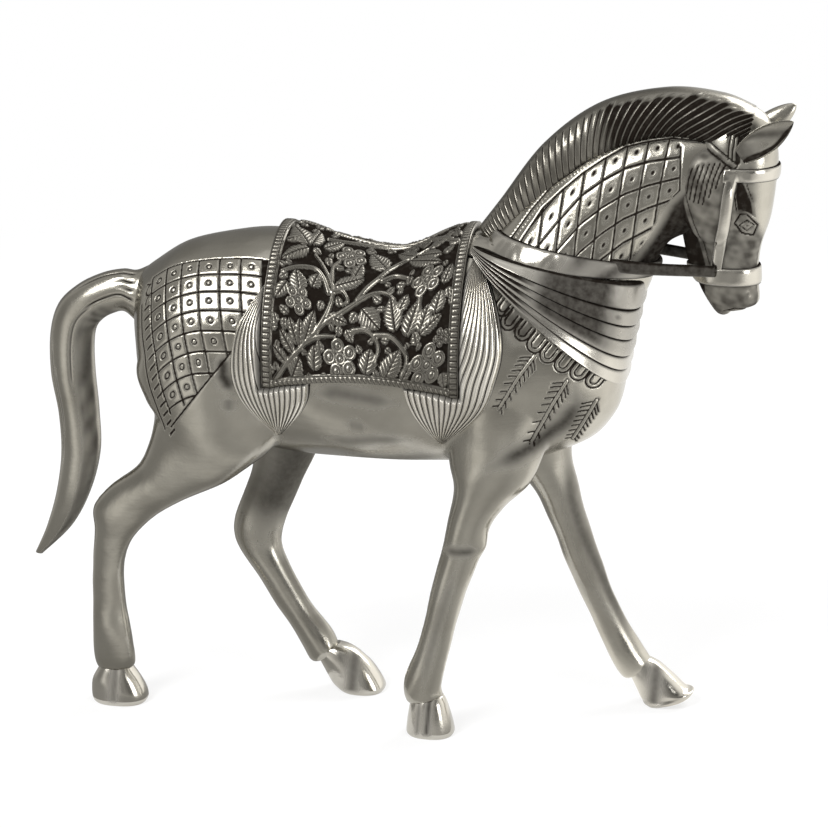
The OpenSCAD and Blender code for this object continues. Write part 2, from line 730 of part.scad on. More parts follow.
function fan_side(w) = sign(sin(w)) * pow(abs(sin(w)), fan_round);
function fan_point(f, w, by) =
    let (pitch = fan_top + (fan_bottom - fan_top) * f,
         reach = (fan_front_top + (fan_front_bottom - fan_front_top) * f - fan_x) / cos(pitch),
         half_w = fan_clear + neck_base_w / 2 - 2 + (chest_w / 2 + 1 - neck_base_w / 2 + 2) * f,
         r = reach / 2 * (1 - cos(w)) - by * cos(w))
    [fan_x + r * cos(pitch), -(half_w + by) * fan_side(w), fan_z - r * sin(pitch)];

module breast_drape() {
    along = 18;
    across = 3 * pleats;
    depth = 7;
    rings = [for (k = [0:along])
        let (w = fan_start + (360 - 2 * fan_start) * k / along,
             open = sin(180 * k / along))
        concat([for (i = [0:across]) fan_point(i / across, w, -depth)],
               [for (i = [across:-1:0]) fan_point(i / across, w,
                   drape_t + pleat_rise * scallop(i / across, pleats) * sqrt(open))])];
    color(BRIGHT) casting() difference() {
        skin(rings);
        torso();
        neck_form();
        for (side = [RIGHT, LEFT]) upper_legs(side);
        collar_slab();
        wrap_room();
    }
}

// The space that the cloth and its bindings take on the back
module wrap_room() {
    intersection() {
        torso(cloth_t + binding_rise);
        cloth_outline(rear_edge, front_edge);
    }
}

// Collar band round the foot of the neck, above the drape and fanned like it
// Where the band begins, in front of the fan's line
band_start = 8;
band_angle = atan(band_w * cos(fan_top) / (fan_front_top - fan_x));

module collar_slab() {
    translate([fan_x, 0, fan_z]) rotate([90, fan_top, 0])
        linear_extrude(height = far, center = true)
            polygon([[band_start, 0], [far, 0], [far, far * tan(band_angle)],
                     [band_start, band_start * tan(band_angle)]]);
}

module collar_band() {
    color(BRIGHT) casting() intersection() {
        difference() {
            neck_form(band_t);
            neck_form();
            torso();
            wrap_room();
            mane_room();
        }
        collar_slab();
    }
}

// The space that the mane takes on the neck
module mane_room() {
    loft(mane_rows, mane_strands, 10);
}

// Bridle straps, wrapped on the head
nose_z = poll_h - 68;
brow_z = poll_h - 29;

module head_wrap() {
    difference() {
        head_form(strap_t);
        head_form();
        neck_form();
    }
}

module head_slab(z, w, tilt) {
    translate([head_rows[2][0], -far / 2, z]) rotate([0, tilt, 0]) translate([-far / 8, 0, 0])
        cube([far / 4, far, w]);
}

module noseband() {
    color(BRIGHT) casting() intersection() {
        head_wrap();
        head_slab(nose_z, strap_w, 0);
    }
}

brow_from_x = ear_base[0] - 5;

module browband() {
    color(BRIGHT) casting() intersection() {
        head_wrap();
        head_slab(brow_z, strap_w, 0);
        translate([brow_from_x, -far / 2, 0]) cube([far, far, far]);
    }
}

cheek_x = 123.5;

module cheek_strap(side) {
    color(BRIGHT) casting() intersection() {
        head_wrap();
        side_of(side);
        translate([cheek_x, -far / 2, nose_z + strap_w])
            cube([cheek_strap_w, far, brow_z + strap_w - nose_z - strap_w]);
    }
}

// Reins, from the collar band to the noseband
module rein(side) {
    rein_x = chest_reach - 2;
    rein_z = nose_z + strap_w / 2 + 1;
    nose_y = muzzle_w / 2 + strap_t - 0.5;
    r = rein_d / 2;
    rows = [
        [rein_x, rein_z + 4 + r, rein_x, rein_z + 4 - r, r * 0.7, side * 19],
        [rein_x + 14, rein_z + 2 + r, rein_x + 14, rein_z + 2 - r, r * 0.7, side * 17],
        [115, rein_z + r, 115, rein_z - r, r * 0.7, side * 14],
        [126, rein_z + r, 126, rein_z - r, r * 0.7, side * (nose_y + 1.5)]
    ];
    color(BRIGHT) casting() difference() {
        loft(rows, 8, 10);
        neck_form(band_t);
        head_form(strap_t);
        torso();
    }
}

body_half(RIGHT);  // body_half_right
body_half(LEFT);  // body_half_left
neck();
head();
mane_crest();
ear(RIGHT);  // ear_right
ear(LEFT);  // ear_left
tail();
shank(fore_rows(RIGHT), fore_steps, fore_seam_h, fore_seat(RIGHT));  // fore_shank_right
shank(fore_rows(LEFT), fore_steps, fore_seam_h, fore_seat(LEFT));  // fore_shank_left
shank(hind_rows(RIGHT), hind_steps, hind_seam_h(RIGHT), hind_seat(RIGHT));  // hind_shank_right
shank(hind_rows(LEFT), hind_steps, hind_seam_h(LEFT), hind_seat(LEFT));  // hind_shank_left
hoof(fore_rows(RIGHT), fore_sole_right);  // fore_hoof_right
hoof(fore_rows(LEFT), fore_sole_left);  // fore_hoof_left
hoof(hind_rows(RIGHT), hind_sole_right);  // hind_hoof_right
hoof(hind_rows(LEFT), hind_sole_left);  // hind_hoof_left
saddle_cloth();
rear_binding();
front_binding();
skirt(rear_skirt_rows, RIGHT);  // rear_skirt_right
skirt(rear_skirt_rows, LEFT);  // rear_skirt_left
skirt(front_skirt_rows, RIGHT);  // front_skirt_right
skirt(front_skirt_rows, LEFT);  // front_skirt_left
breast_drape();
collar_band();
rein(RIGHT);  // rein_right
rein(LEFT);  // rein_left
noseband();
browband();
cheek_strap(RIGHT);  // cheek_strap_right
cheek_strap(LEFT);  // cheek_strap_left
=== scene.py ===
import math

import bmesh
import bpy
import numpy as np
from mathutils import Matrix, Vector
from mathutils.bvhtree import BVHTree


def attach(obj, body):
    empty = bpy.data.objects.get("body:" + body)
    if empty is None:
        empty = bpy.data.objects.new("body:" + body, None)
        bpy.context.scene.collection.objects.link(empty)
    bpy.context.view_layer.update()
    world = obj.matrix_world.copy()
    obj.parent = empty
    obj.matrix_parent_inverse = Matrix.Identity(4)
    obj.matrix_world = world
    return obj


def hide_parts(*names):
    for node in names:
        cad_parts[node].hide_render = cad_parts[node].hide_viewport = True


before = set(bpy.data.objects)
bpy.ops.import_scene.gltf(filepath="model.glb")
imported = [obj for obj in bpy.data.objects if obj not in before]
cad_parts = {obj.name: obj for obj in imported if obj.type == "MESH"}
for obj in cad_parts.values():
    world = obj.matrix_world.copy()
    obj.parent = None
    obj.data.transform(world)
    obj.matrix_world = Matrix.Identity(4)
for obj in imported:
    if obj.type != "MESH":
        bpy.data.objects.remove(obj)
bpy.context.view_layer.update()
scene = bpy.context.scene
mm = 0.001
print("frame: loaded", len(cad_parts), "solids")


# small tools, all in millimetres

def rowAt(rows, s):  # smooth curve through the rows, s from 0 to 1
    rows = np.asarray(rows, float)
    last = len(rows) - 1
    t = np.clip(np.asarray(s, float), 0, 1) * last
    i = np.minimum(t.astype(int), last - 1)
    f = (t - i)[:, None]
    p0, p1 = rows[np.maximum(i - 1, 0)], rows[i]
    p2, p3 = rows[i + 1], rows[np.minimum(i + 2, last)]
    return 0.5 * (2 * p1 + (p2 - p0) * f + (2 * p0 - 5 * p1 + 4 * p2 - p3) * f ** 2
                  + (3 * p1 - p0 - 3 * p2 + p3) * f ** 3)


def smoothStep(a, b, v):
    t = np.clip((v - a) / (b - a), 0, 1)
    return t * t * (3 - 2 * t)


def bell(v, width):  # 1 at 0, fading to both sides
    return np.exp(-(v / width) ** 2)


def stroke(d, width):  # 1 on the line, falling to 0 at its edge
    return bell(d, 0.6 * width)


def fromRound(v):  # way to the nearest whole number
    return np.abs(v - np.round(v))


def ringAngles(sides):
    return np.linspace(0, 2 * math.pi, sides, endpoint=False)


def gridFaces(m, n, closed=True):  # quads of m rings with n points each
    faces = []
    for i in range(m - 1):
        for j in range(n if closed else n - 1):
            k = (j + 1) % n
            faces.append((i * n + j, i * n + k, (i + 1) * n + k, (i + 1) * n + j))
    return faces


def tubeFaces(steps, sides):  # rings closed at both ends
    faces = gridFaces(steps + 1, sides)
    faces.append(tuple(range(sides))[::-1])
    faces.append(tuple(steps * sides + j for j in range(sides)))
    return faces


def loft(rows, steps=60, sides=40, power=2.0):
    # a row is x1, z1, x2, z2, half width, y: an oval between two points of the side view
    r = rowAt(rows, np.linspace(0, 1, steps + 1))
    a = ringAngles(sides)
    c = np.sign(np.cos(a)) * np.abs(np.cos(a)) ** (2 / power)
    s = np.sign(np.sin(a)) * np.abs(np.sin(a)) ** (2 / power)
    x = (r[:, 0] + r[:, 2])[:, None] / 2 + (r[:, 0] - r[:, 2])[:, None] / 2 * c
    y = r[:, 5][:, None] + r[:, 4][:, None] * s
    z = (r[:, 1] + r[:, 3])[:, None] / 2 + (r[:, 1] - r[:, 3])[:, None] / 2 * c
    return np.stack([x, y, z], -1).reshape(-1, 3), tubeFaces(steps, sides)


def loftPlaces(steps, sides):  # each point's way along the loft, 0 to 1, and its angle round it
    return np.repeat(np.linspace(0, 1, steps + 1), sides), np.tile(ringAngles(sides), steps + 1)


def ball(centre, radii, turn=0.0, rings=20, sides=32):  # turn is about the y axis, in degrees
    a = np.linspace(0, math.pi, rings + 1)[1:-1]
    b = ringAngles(sides)
    x = np.sin(a)[:, None] * np.cos(b) * radii[0]
    y = np.sin(a)[:, None] * np.sin(b) * radii[1]
    z = np.cos(a)[:, None] * np.ones_like(b) * radii[2]
    co = np.stack([x, y, z], -1).reshape(-1, 3)
    n = len(co)
    co = np.vstack([co, [[0, 0, radii[2]], [0, 0, -radii[2]]]])
    faces = gridFaces(rings - 1, sides)
    faces += [(n, j, (j + 1) % sides) for j in range(sides)]
    faces += [(n + 1, n - sides + (j + 1) % sides, n - sides + j) for j in range(sides)]
    t = math.radians(turn)
    spin = np.array([[math.cos(t), 0, math.sin(t)], [0, 1, 0], [-math.sin(t), 0, math.cos(t)]])
    return co @ spin.T + np.asarray(centre, float), faces


def placeObject(name, data):
    thing = bpy.data.objects.new(name, data)
    scene.collection.objects.link(thing)
    return thing


def makeMesh(name, co, faces):
    mesh = bpy.data.meshes.new(name)
    mesh.from_pydata((np.asarray(co) * mm).tolist(), [], faces)
    mesh.validate()
    return placeObject(name, mesh)


def pointValues(piece, key):
    values = np.zeros(len(piece.data.vertices) * 3)
    piece.data.vertices.foreach_get(key, values)
    return values.reshape(-1, 3)


def points(piece):
    return pointValues(piece, "co") / mm


def normals(piece):
    return pointValues(piece, "normal")


def setPoints(piece, co):
    piece.data.vertices.foreach_set("co", (co * mm).ravel())
    piece.data.update()


def fuse(name, parts, voxel, rounds):  # one skin over all the parts, then softened
    co = np.vstack([p[0] for p in parts])
    faces, base = [], 0
    for p in parts:
        faces += [tuple(i + base for i in f) for f in p[1]]
        base += len(p[0])
    piece = makeMesh(name, co, faces)
    skin = piece.modifiers.new("skin", "REMESH")
    skin.mode = "VOXEL"
    skin.voxel_size = voxel * mm
    soft = piece.modifiers.new("soft", "SMOOTH")
    soft.factor = 0.5
    soft.iterations = rounds
    return bake(piece)


def bake(piece):
    deps = bpy.context.evaluated_depsgraph_get()
    mesh = bpy.data.meshes.new_from_object(piece.evaluated_get(deps))
    piece.modifiers.clear()
    old, piece.data = piece.data, mesh
    mesh.name = piece.name
    bpy.data.meshes.remove(old)
    return piece


def editMesh(piece, work):
    bm = bmesh.new()
    bm.from_mesh(piece.data)
    work(bm)
    bm.to_mesh(piece.data)
    bm.free()
    piece.data.update()


def refine(piece, inside):  # halves the edges whose ends are both inside
    def halve(bm):
        bm.verts.ensure_lookup_table()
        chosen = [e for e in bm.edges if inside[e.verts[0].index] and inside[e.verts[1].index]]
        bmesh.ops.subdivide_edges(bm, edges=chosen, cuts=1, use_grid_fill=True)

    editMesh(piece, halve)


def turnOut(piece):  # all faces look outwards
    editMesh(piece, lambda bm: bmesh.ops.recalc_face_normals(bm, faces=bm.faces))


def hollows(piece, rounds=3):  # how deep each point lies below its neighbours, in mm
    mesh = piece.data
    edges = np.zeros(len(mesh.edges) * 2, int)
    mesh.edges.foreach_get("vertices", edges)
    a, b = edges.reshape(-1, 2).T
    co, no = points(piece), normals(piece)
    count = np.maximum(np.bincount(a, minlength=len(co)) + np.bincount(b, minlength=len(co)), 1)
    around = np.zeros_like(co)
    np.add.at(around, a, co[b])
    np.add.at(around, b, co[a])
    deep = ((around / count[:, None] - co) * no).sum(1)
    for _ in range(rounds):
        soft = np.zeros(len(co))
        np.add.at(soft, a, deep[b])
        np.add.at(soft, b, deep[a])
        deep = 0.5 * deep + 0.5 * soft / count
    return deep


def hollowShade(piece, gain):  # tarnish that gathers in the hollows
    return np.clip(hollows(piece) * gain, 0, 0.5)


def handWork(co, length, seed, count=14):  # waves left by filing and polishing, about -1 to 1
    rng = np.random.default_rng(seed)
    out = np.zeros(len(co))
    for _ in range(count):
        way = rng.normal(size=3)
        way /= np.linalg.norm(way)
        size = length * rng.uniform(0.7, 1.6)
        out += np.sin(2 * math.pi * (co @ way) / size + rng.uniform(0, 2 * math.pi))
    return out / math.sqrt(count / 2)


def mark(piece, values):  # how dark each point is: tarnish in the hollows, and the painted shade and painted dark reflections marked on some pieces
    layer = piece.data.attributes.new("tarnishAndShade", "FLOAT", "POINT")
    layer.data.foreach_set("value", np.asarray(np.clip(values, 0, 1), np.float32))


def chase(piece, depth, shade):  # sinks the points and darkens them
    setPoints(piece, points(piece) - normals(piece) * depth[:, None])
    mark(piece, shade)


def finishPiece(piece, material, nodes):
    piece.data.materials.clear()
    piece.data.materials.append(material)
    piece.data.polygons.foreach_set("use_smooth", np.ones(len(piece.data.polygons), bool))
    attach(piece, "root")
    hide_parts(*nodes)
    print("piece:", piece.name, len(piece.data.polygons), "faces")
    return piece


def lineDist(px, pz, line):  # distance of side-view points from a line, and the way along it, 0 to 1
    line = np.asarray(line, float)
    best = np.full(len(px), 1e9)
    along = np.zeros(len(px))
    steps = np.hypot(*np.diff(line, axis=0).T)
    start = np.concatenate([[0], np.cumsum(steps)])
    for i, (a, b) in enumerate(zip(line[:-1], line[1:])):
        d = b - a
        t = np.clip(((px - a[0]) * d[0] + (pz - a[1]) * d[1]) / max(d @ d, 1e-9), 0, 1)
        gap = np.hypot(px - a[0] - t * d[0], pz - a[1] - t * d[1])
        near = gap < best
        best[near] = gap[near]
        along[near] = ((start[i] + t * steps[i]) / start[-1])[near]
    return best, along


def lineStroke(px, pz, line, width):
    return stroke(lineDist(px, pz, line)[0], width)


def lineAt(v, line, k=0):  # the line's height at v, or with k=1 its x at a height
    line = np.array(line)
    return np.interp(v, line[:, k], line[:, 1 - k])


def within(a, b, box):  # box is the least and greatest a, then b
    return (a > box[0]) & (a < box[1]) & (b > box[2]) & (b < box[3])


def insideOf(px, pz, ring):  # points of the side view within a closed line
    hit = np.zeros(len(px), bool)
    for (x0, z0), (x1, z1) in zip(ring, ring[1:] + ring[:1]):
        crosses = (z0 > pz) != (z1 > pz)
        at = x0 + (x1 - x0) * (pz - z0) / (z1 - z0 if z1 != z0 else 1e-9)
        hit ^= crosses & (px < at)
    return hit


# camera at the photo's height and turn

view = dict(yaw=11.0, rise=17.0, distance=1100.0, target=(7.0, 0.0, 126.3), focalPx=2750.0, framePx=828,
            sensor=36.0, clip=(0.05, 50))


def lookAlong(d):
    return d.to_track_quat("-Z", "Y").to_euler()


def makeCamera(v):
    a, e = math.radians(v["yaw"]), math.radians(v["rise"])
    d = Vector((math.sin(a) * math.cos(e), -math.cos(a) * math.cos(e), math.sin(e)))
    lens = bpy.data.cameras.new("photoCamera")
    lens.sensor_fit = "HORIZONTAL"
    lens.sensor_width = v["sensor"]
    lens.lens = v["focalPx"] * v["sensor"] / v["framePx"]
    lens.clip_start, lens.clip_end = v["clip"]
    camera = placeObject("photoCamera", lens)
    camera.location = (Vector(v["target"]) + d * v["distance"]) * mm
    camera.rotation_euler = lookAlong(-d)
    scene.camera = camera


makeCamera(view)
print("camera: set")


# studio in metres: pale floor, white surround, soft lamps and a grey room that only reflections see

studio = dict(
    surround=1.0, fill=0.55, floorHalf=6.0, floorGrey=0.93, floorShadow=0.35, shadowFade=(0.3, 0.9),
    lampAim=(0, 0, 0.13), lampShape=1.3,
    lamps=[("keyLamp", (-0.9, -1.3, 1.5), 0.9, 34), ("rimLamp", (0.9, 1.3, 1.4), 1.0, 24),
           ("lowLamp", (1.5, -0.9, 0.5), 0.6, 11)],  # place, width, watts
    roomRadius=2.5, roomTint=(1, 0.985, 0.955, 1), roomStep=4.0, roomFloor=0.002,
    floorRings=(0.04, 0.22, 0.32, 0.6, 2.5), wallRings=(6, 22, 34, 46, 60, 72),  # metres, then degrees
    ringLevels=[0, 0, 1, 2, 2, 3, 3, 4, 4, 5, 5],  # which grey of the room's rows each ring takes
    # direction in degrees, then the grey of the near, middle and far floor, low and high wall and sky
    room=[(-180, 0.4, 0.4, 0.4, 0.35, 0.4, 0.5), (-150, 0.36, 0.36, 0.36, 0.3, 0.36, 0.5),
          (-130, 0.9, 1.25, 1.3, 0.95, 0.65, 0.6), (-112, 0.5, 0.62, 0.52, 0.5, 0.4, 0.58),
          (-96, 0.58, 0.6, 0.4, 0.24, 0.28, 0.56), (-79, 0.66, 0.66, 0.45, 0.38, 0.3, 0.56),
          (-62, 0.6, 0.58, 0.36, 0.2, 0.26, 0.56), (-47, 0.5, 0.95, 0.7, 0.08, 0.1, 0.5),
          (-32, 0.6, 1.35, 1.3, 0.1, 0.12, 0.55), (-17, 0.7, 1.4, 1.5, 0.5, 0.5, 0.6),
          (-4, 0.8, 1.4, 1.6, 1.1, 1.1, 0.8), (14, 1.4, 1.5, 1.6, 1.7, 1.4, 0.9),
          (60, 1.2, 1.2, 1.1, 1.7, 1.4, 0.9), (84, 1, 1, 1, 1, 1, 0.7),
          (100, 0.35, 0.35, 0.35, 0.25, 0.3, 0.5), (146, 0.35, 0.35, 0.35, 0.25, 0.3, 0.5),
          (160, 0.6, 0.6, 0.6, 0.6, 0.6, 0.5)])


def newMaterial(name):
    material = bpy.data.materials.new(name)
    material.use_nodes = True
    tree = material.node_tree
    tree.nodes.clear()
    return material, tree, tree.nodes.new("ShaderNodeOutputMaterial")


def mathNode(tree, kind, a, b=None, clamp=False):
    node = tree.nodes.new("ShaderNodeMath")
    node.operation = kind
    node.use_clamp = clamp
    for socket, value in zip(node.inputs, (a, b)):
        if isinstance(value, (int, float)):
            socket.default_value = value
        elif value is not None:
            tree.links.new(value, socket)
    return node.outputs[0]


def mixShaders(tree, share, a, b, out):
    mix = tree.nodes.new("ShaderNodeMixShader")
    for socket, value in zip(mix.inputs, (share, a, b)):
        tree.links.new(value, socket)
    tree.links.new(mix.outputs[0], out.inputs[0])


def seenWhite(tree):  # 1 for camera, glossy and transmission rays
    path = tree.nodes.new("ShaderNodeLightPath").outputs
    first = mathNode(tree, "MAXIMUM", path["Is Camera Ray"], path["Is Glossy Ray"])
    return mathNode(tree, "MAXIMUM", first, path["Is Transmission Ray"])


def makeWorld(s):
    scene.world = bpy.data.worlds.new("studioWorld")
    scene.world.use_nodes = True
    tree = scene.world.node_tree
    tree.nodes.clear()
    lights = []
    for strength in (s["fill"], s["surround"]):
        light = tree.nodes.new("ShaderNodeBackground")
        light.inputs["Color"].default_value = (1, 1, 1, 1)
        light.inputs["Strength"].default_value = strength
        lights.append(light.outputs[0])
    mixShaders(tree, seenWhite(tree), *lights, tree.nodes.new("ShaderNodeOutputWorld"))


def makeFloor(s):
    mesh = bpy.data.meshes.new("floor")
    r = s["floorHalf"]
    mesh.from_pydata([(-r, -r, 0), (r, -r, 0), (r, r, 0), (-r, r, 0)], [], [(0, 1, 2, 3)])
    pale, tree, out = newMaterial("paleFloor")
    mesh.materials.append(pale)
    place = tree.nodes.new("ShaderNodeTexCoord")
    away = tree.nodes.new("ShaderNodeVectorMath")
    away.operation = "LENGTH"
    tree.links.new(place.outputs["Object"], away.inputs[0])
    fade = tree.nodes.new("ShaderNodeMapRange")  # the shadow fades out away from the object
    fade.inputs["From Min"].default_value, fade.inputs["From Max"].default_value = s["shadowFade"]
    fade.inputs["To Min"].default_value, fade.inputs["To Max"].default_value = 1 - s["floorShadow"], 1.0
    tree.links.new(away.outputs["Value"], fade.inputs["Value"])
    matt = tree.nodes.new("ShaderNodeBsdfDiffuse")
    matt.inputs["Color"].default_value = (*[s["floorGrey"]] * 3, 1)
    glow = tree.nodes.new("ShaderNodeEmission")
    glow.inputs["Color"].default_value = (1, 1, 1, 1)
    share = mathNode(tree, "MULTIPLY", seenWhite(tree), fade.outputs[0])
    mixShaders(tree, share, matt.outputs[0], glow.outputs[0], out)
    floor = placeObject("floor", mesh)


def makeLamps(s):
    for name, place, size, watts in s["lamps"]:
        lamp = bpy.data.lights.new(name, "AREA")
        lamp.shape = "RECTANGLE"
        lamp.size, lamp.size_y = size, size * s["lampShape"]
        lamp.energy = watts
        holder = placeObject(name, lamp)
        holder.location = place
        holder.rotation_euler = lookAlong(Vector(s["lampAim"]) - Vector(place))


def makeRoom(s):
    degrees = np.arange(-180, 180, s["roomStep"])
    rows = np.array(s["room"])
    levels = np.stack([np.interp(degrees, rows[:, 0], grey, period=360) for grey in rows.T[1:]])
    far, turn = s["roomRadius"], np.radians(degrees)
    profile = [(r, s["roomFloor"]) for r in s["floorRings"]]
    profile += [(far * math.cos(math.radians(a)), far * math.sin(math.radians(a))) for a in s["wallRings"]]
    mesh = bpy.data.meshes.new("greyRoom")
    mesh.from_pydata([(r * math.cos(a), r * math.sin(a), z) for r, z in profile for a in turn], [],
                     gridFaces(len(profile), len(turn)))
    grey = mesh.attributes.new("grey", "FLOAT", "POINT")
    grey.data.foreach_set("value", levels[s["ringLevels"]].ravel().astype(np.float32))
    paint, tree, out = newMaterial("greyRoom")
    mesh.materials.append(paint)
    tone = tree.nodes.new("ShaderNodeEmission")
    tone.inputs["Color"].default_value = s["roomTint"]
    level = tree.nodes.new("ShaderNodeAttribute")
    level.attribute_name = "grey"
    tree.links.new(level.outputs["Fac"], tone.inputs["Strength"])
    tree.links.new(tone.outputs[0], out.inputs[0])
    room = placeObject("greyRoom", mesh)
    room.visible_camera = room.visible_diffuse = room.visible_shadow = False


for makeStage in (makeWorld, makeFloor, makeLamps, makeRoom):
    makeStage(studio)
scene.view_settings.view_transform = "Standard"
print("studio: set")


# metal: tarnish and cast skin are shared by every finish

# dark colour of the tarnish, also used for painted shade
shadeAndTarnishColour = (0.012, 0.0095, 0.0075, 1)
bumpStrength, bumpHeight = 0.35, 0.0006
tarnishForm = dict(patches=45, patchFrom=0.42, patchGain=3.0, grains=420, grain=0.2, tarnishAndShadeGain=1.3,
                   bloomRough=0.12, darkRough=0.3, grainRough=0.3)
skinForm = dict(waves=58, pits=900, rub=260, rubStretch=(0.25, 1.0, 1.6))
finishes = dict(
    castSilver=dict(silver=(0.42, 0.402, 0.352, 1), bloom=(0.27, 0.252, 0.212, 1), cover=0.55, shine=0.2,
                    waves=1.7, pits=0.12, rub=0.25),
    brightSilver=dict(silver=(0.53, 0.508, 0.455, 1), bloom=(0.34, 0.318, 0.272, 1), cover=0.4, shine=0.15,
                      waves=0.9, pits=0.1, rub=0.2),
    agedSilver=dict(silver=(0.262, 0.249, 0.217, 1), bloom=(0.135, 0.126, 0.105, 1), cover=0.65, shine=0.2,
                    waves=0.5, pits=0.2, rub=0.2),
    # a lighter copy of the silver for the skirts, its lightness standing in for painted highlights on the
    # ribs
    paintedHighlightSilver=dict(silver=(0.8, 0.772, 0.705, 1), bloom=(0.55, 0.52, 0.45, 1), cover=0.4, shine=0.15,
                        waves=0.6, pits=0.1, rub=0.2))


def newGroup(name, inputs, outputs):
    group = bpy.data.node_groups.new(name, "ShaderNodeTree")
    for label, kind, value in inputs:
        group.interface.new_socket(label, in_out="INPUT", socket_type=kind).default_value = value
    for label, kind in outputs:
        group.interface.new_socket(label, in_out="OUTPUT", socket_type=kind)
    return group, group.nodes.new("NodeGroupInput").outputs, group.nodes.new("NodeGroupOutput").inputs


def placeGroup(tree, group, **values):
    node = tree.nodes.new("ShaderNodeGroup")
    node.node_tree = group
    for label, value in values.items():
        node.inputs[label].default_value = value
    return node


def noiseNode(tree, scale, detail=3.0, rough=0.55, stretch=None):
    source = tree.nodes.new("ShaderNodeTexCoord").outputs["Object"]
    noise = tree.nodes.new("ShaderNodeTexNoise")
    noise.inputs["Scale"].default_value = scale
    noise.inputs["Detail"].default_value = detail
    noise.inputs["Roughness"].default_value = rough
    if stretch:
        move = tree.nodes.new("ShaderNodeMapping")
        move.inputs["Scale"].default_value = stretch
        tree.links.new(source, move.inputs["Vector"])
        source = move.outputs[0]
    tree.links.new(source, noise.inputs["Vector"])
    return noise.outputs["Fac"]


def mixColour(tree, share, a, b):
    mix = tree.nodes.new("ShaderNodeMix")
    mix.data_type = "RGBA"
    for socket, value in ((mix.inputs["Factor"], share), (mix.inputs[6], a), (mix.inputs[7], b)):
        tree.links.new(value, socket)
    return mix.outputs[2]


def makeTarnish(f):  # dark matt oxide in the hollows and in the painted shade, thin brown bloom over the rest
    colour, value = "NodeSocketColor", "NodeSocketFloat"
    tree, given, out = newGroup(
        "tarnish",
        [("Silver", colour, (0.7, 0.7, 0.7, 1)), ("Bloom", colour, (0.4, 0.36, 0.3, 1)),
         ("Oxide", colour, shadeAndTarnishColour), ("TarnishAndShade", value, 0.0), ("Cover", value, 0.5), ("Shine", value, 0.2)],
        [("Color", colour), ("Roughness", value), ("Metal", value)])
    wide = noiseNode(tree, f["patches"], detail=4)
    fine = noiseNode(tree, f["grains"], detail=2)
    patch = mathNode(tree, "MULTIPLY", mathNode(tree, "SUBTRACT", wide, f["patchFrom"]), f["patchGain"], True)
    bloomShare = mathNode(tree, "MULTIPLY", patch, given["Cover"], True)
    grain = mathNode(tree, "MULTIPLY", mathNode(tree, "SUBTRACT", fine, 0.5), f["grain"])
    deep = mathNode(tree, "MULTIPLY", given["TarnishAndShade"], f["tarnishAndShadeGain"], True)
    dark = mathNode(tree, "ADD", deep, mathNode(tree, "MULTIPLY", grain, deep), True)
    bloomed = mixColour(tree, bloomShare, given["Silver"], given["Bloom"])
    tree.links.new(mixColour(tree, dark, bloomed, given["Oxide"]), out["Color"])
    rough = given["Shine"]
    for part, share in ((bloomShare, f["bloomRough"]), (dark, f["darkRough"]), (grain, f["grainRough"])):
        rough = mathNode(tree, "ADD", rough, mathNode(tree, "MULTIPLY", part, share), True)
    tree.links.new(rough, out["Roughness"])
    tree.links.new(mathNode(tree, "SUBTRACT", 1.0, dark), out["Metal"])
    return tree


def makeCastSkin(f):  # slow waves of hand finishing, with fine pits and rub lines
    value = "NodeSocketFloat"
    tree, given, out = newGroup(
        "castSkin", [("Waves", value, 1.0), ("Pits", value, 0.2), ("Rub", value, 0.1)], [("Height", value)])
    waves = mathNode(tree, "MULTIPLY", noiseNode(tree, f["waves"], detail=1.5, rough=0.4), given["Waves"])
    pits = mathNode(tree, "MULTIPLY", noiseNode(tree, f["pits"], detail=2), given["Pits"])
    lines = noiseNode(tree, f["rub"], rough=0.6, stretch=f["rubStretch"])
    rub = mathNode(tree, "MULTIPLY", lines, given["Rub"])
    tree.links.new(mathNode(tree, "ADD", mathNode(tree, "ADD", waves, pits), rub), out["Height"])
    return tree


tarnish, castSkin = makeTarnish(tarnishForm), makeCastSkin(skinForm)


def makeMetal(name, f):
    material, tree, out = newMaterial(name)
    metal = tree.nodes.new("ShaderNodeBsdfPrincipled")
    metal.inputs["Specular IOR Level"].default_value = 0.0  # the dark tarnish and painted shade have no gloss
    tarnishAndShade = tree.nodes.new("ShaderNodeAttribute")
    tarnishAndShade.attribute_name = "tarnishAndShade"
    look = placeGroup(tree, tarnish, Silver=f["silver"], Bloom=f["bloom"], Oxide=shadeAndTarnishColour, Cover=f["cover"],
                      Shine=f["shine"])
    skin = placeGroup(tree, castSkin, Waves=f["waves"], Pits=f["pits"], Rub=f["rub"])
    relief = tree.nodes.new("ShaderNodeBump")
    relief.inputs["Strength"].default_value = bumpStrength
    relief.inputs["Distance"].default_value = bumpHeight
    for start, end in ((tarnishAndShade.outputs["Fac"], look.inputs["TarnishAndShade"]),
                       (look.outputs["Color"], metal.inputs["Base Color"]),
                       (look.outputs["Roughness"], metal.inputs["Roughness"]),
                       (look.outputs["Metal"], metal.inputs["Metallic"]),
                       (skin.outputs["Height"], relief.inputs["Height"]),
                       (relief.outputs["Normal"], metal.inputs["Normal"]),
                       (metal.outputs[0], out.inputs[0])):
        tree.links.new(start, end)
    return material


castSilver, brightSilver, agedSilver, paintedHighlightSilver = (makeMetal(name, f) for name, f in finishes.items())
print("metal: four finishes")


# body: barrel, haunches and legs as one casting

barrelRows = np.array([  # x, top, bottom, half width
    (-106, 177.5, 148, 5), (-99.5, 184, 127, 24), (-84.5, 193.5, 117.5, 34), (-61.5, 199, 112.5, 36),
    (-40, 199.5, 109.5, 37), (-20, 194, 108.5, 37), (4, 192, 108.5, 37), (29, 202, 109.5, 36),
    (57, 198, 112.5, 34), (78, 188, 121.5, 29), (88.5, 175, 134, 19), (92, 159, 145.5, 4)])
barrelTable = rowAt(barrelRows, np.linspace(0, 1, 400))


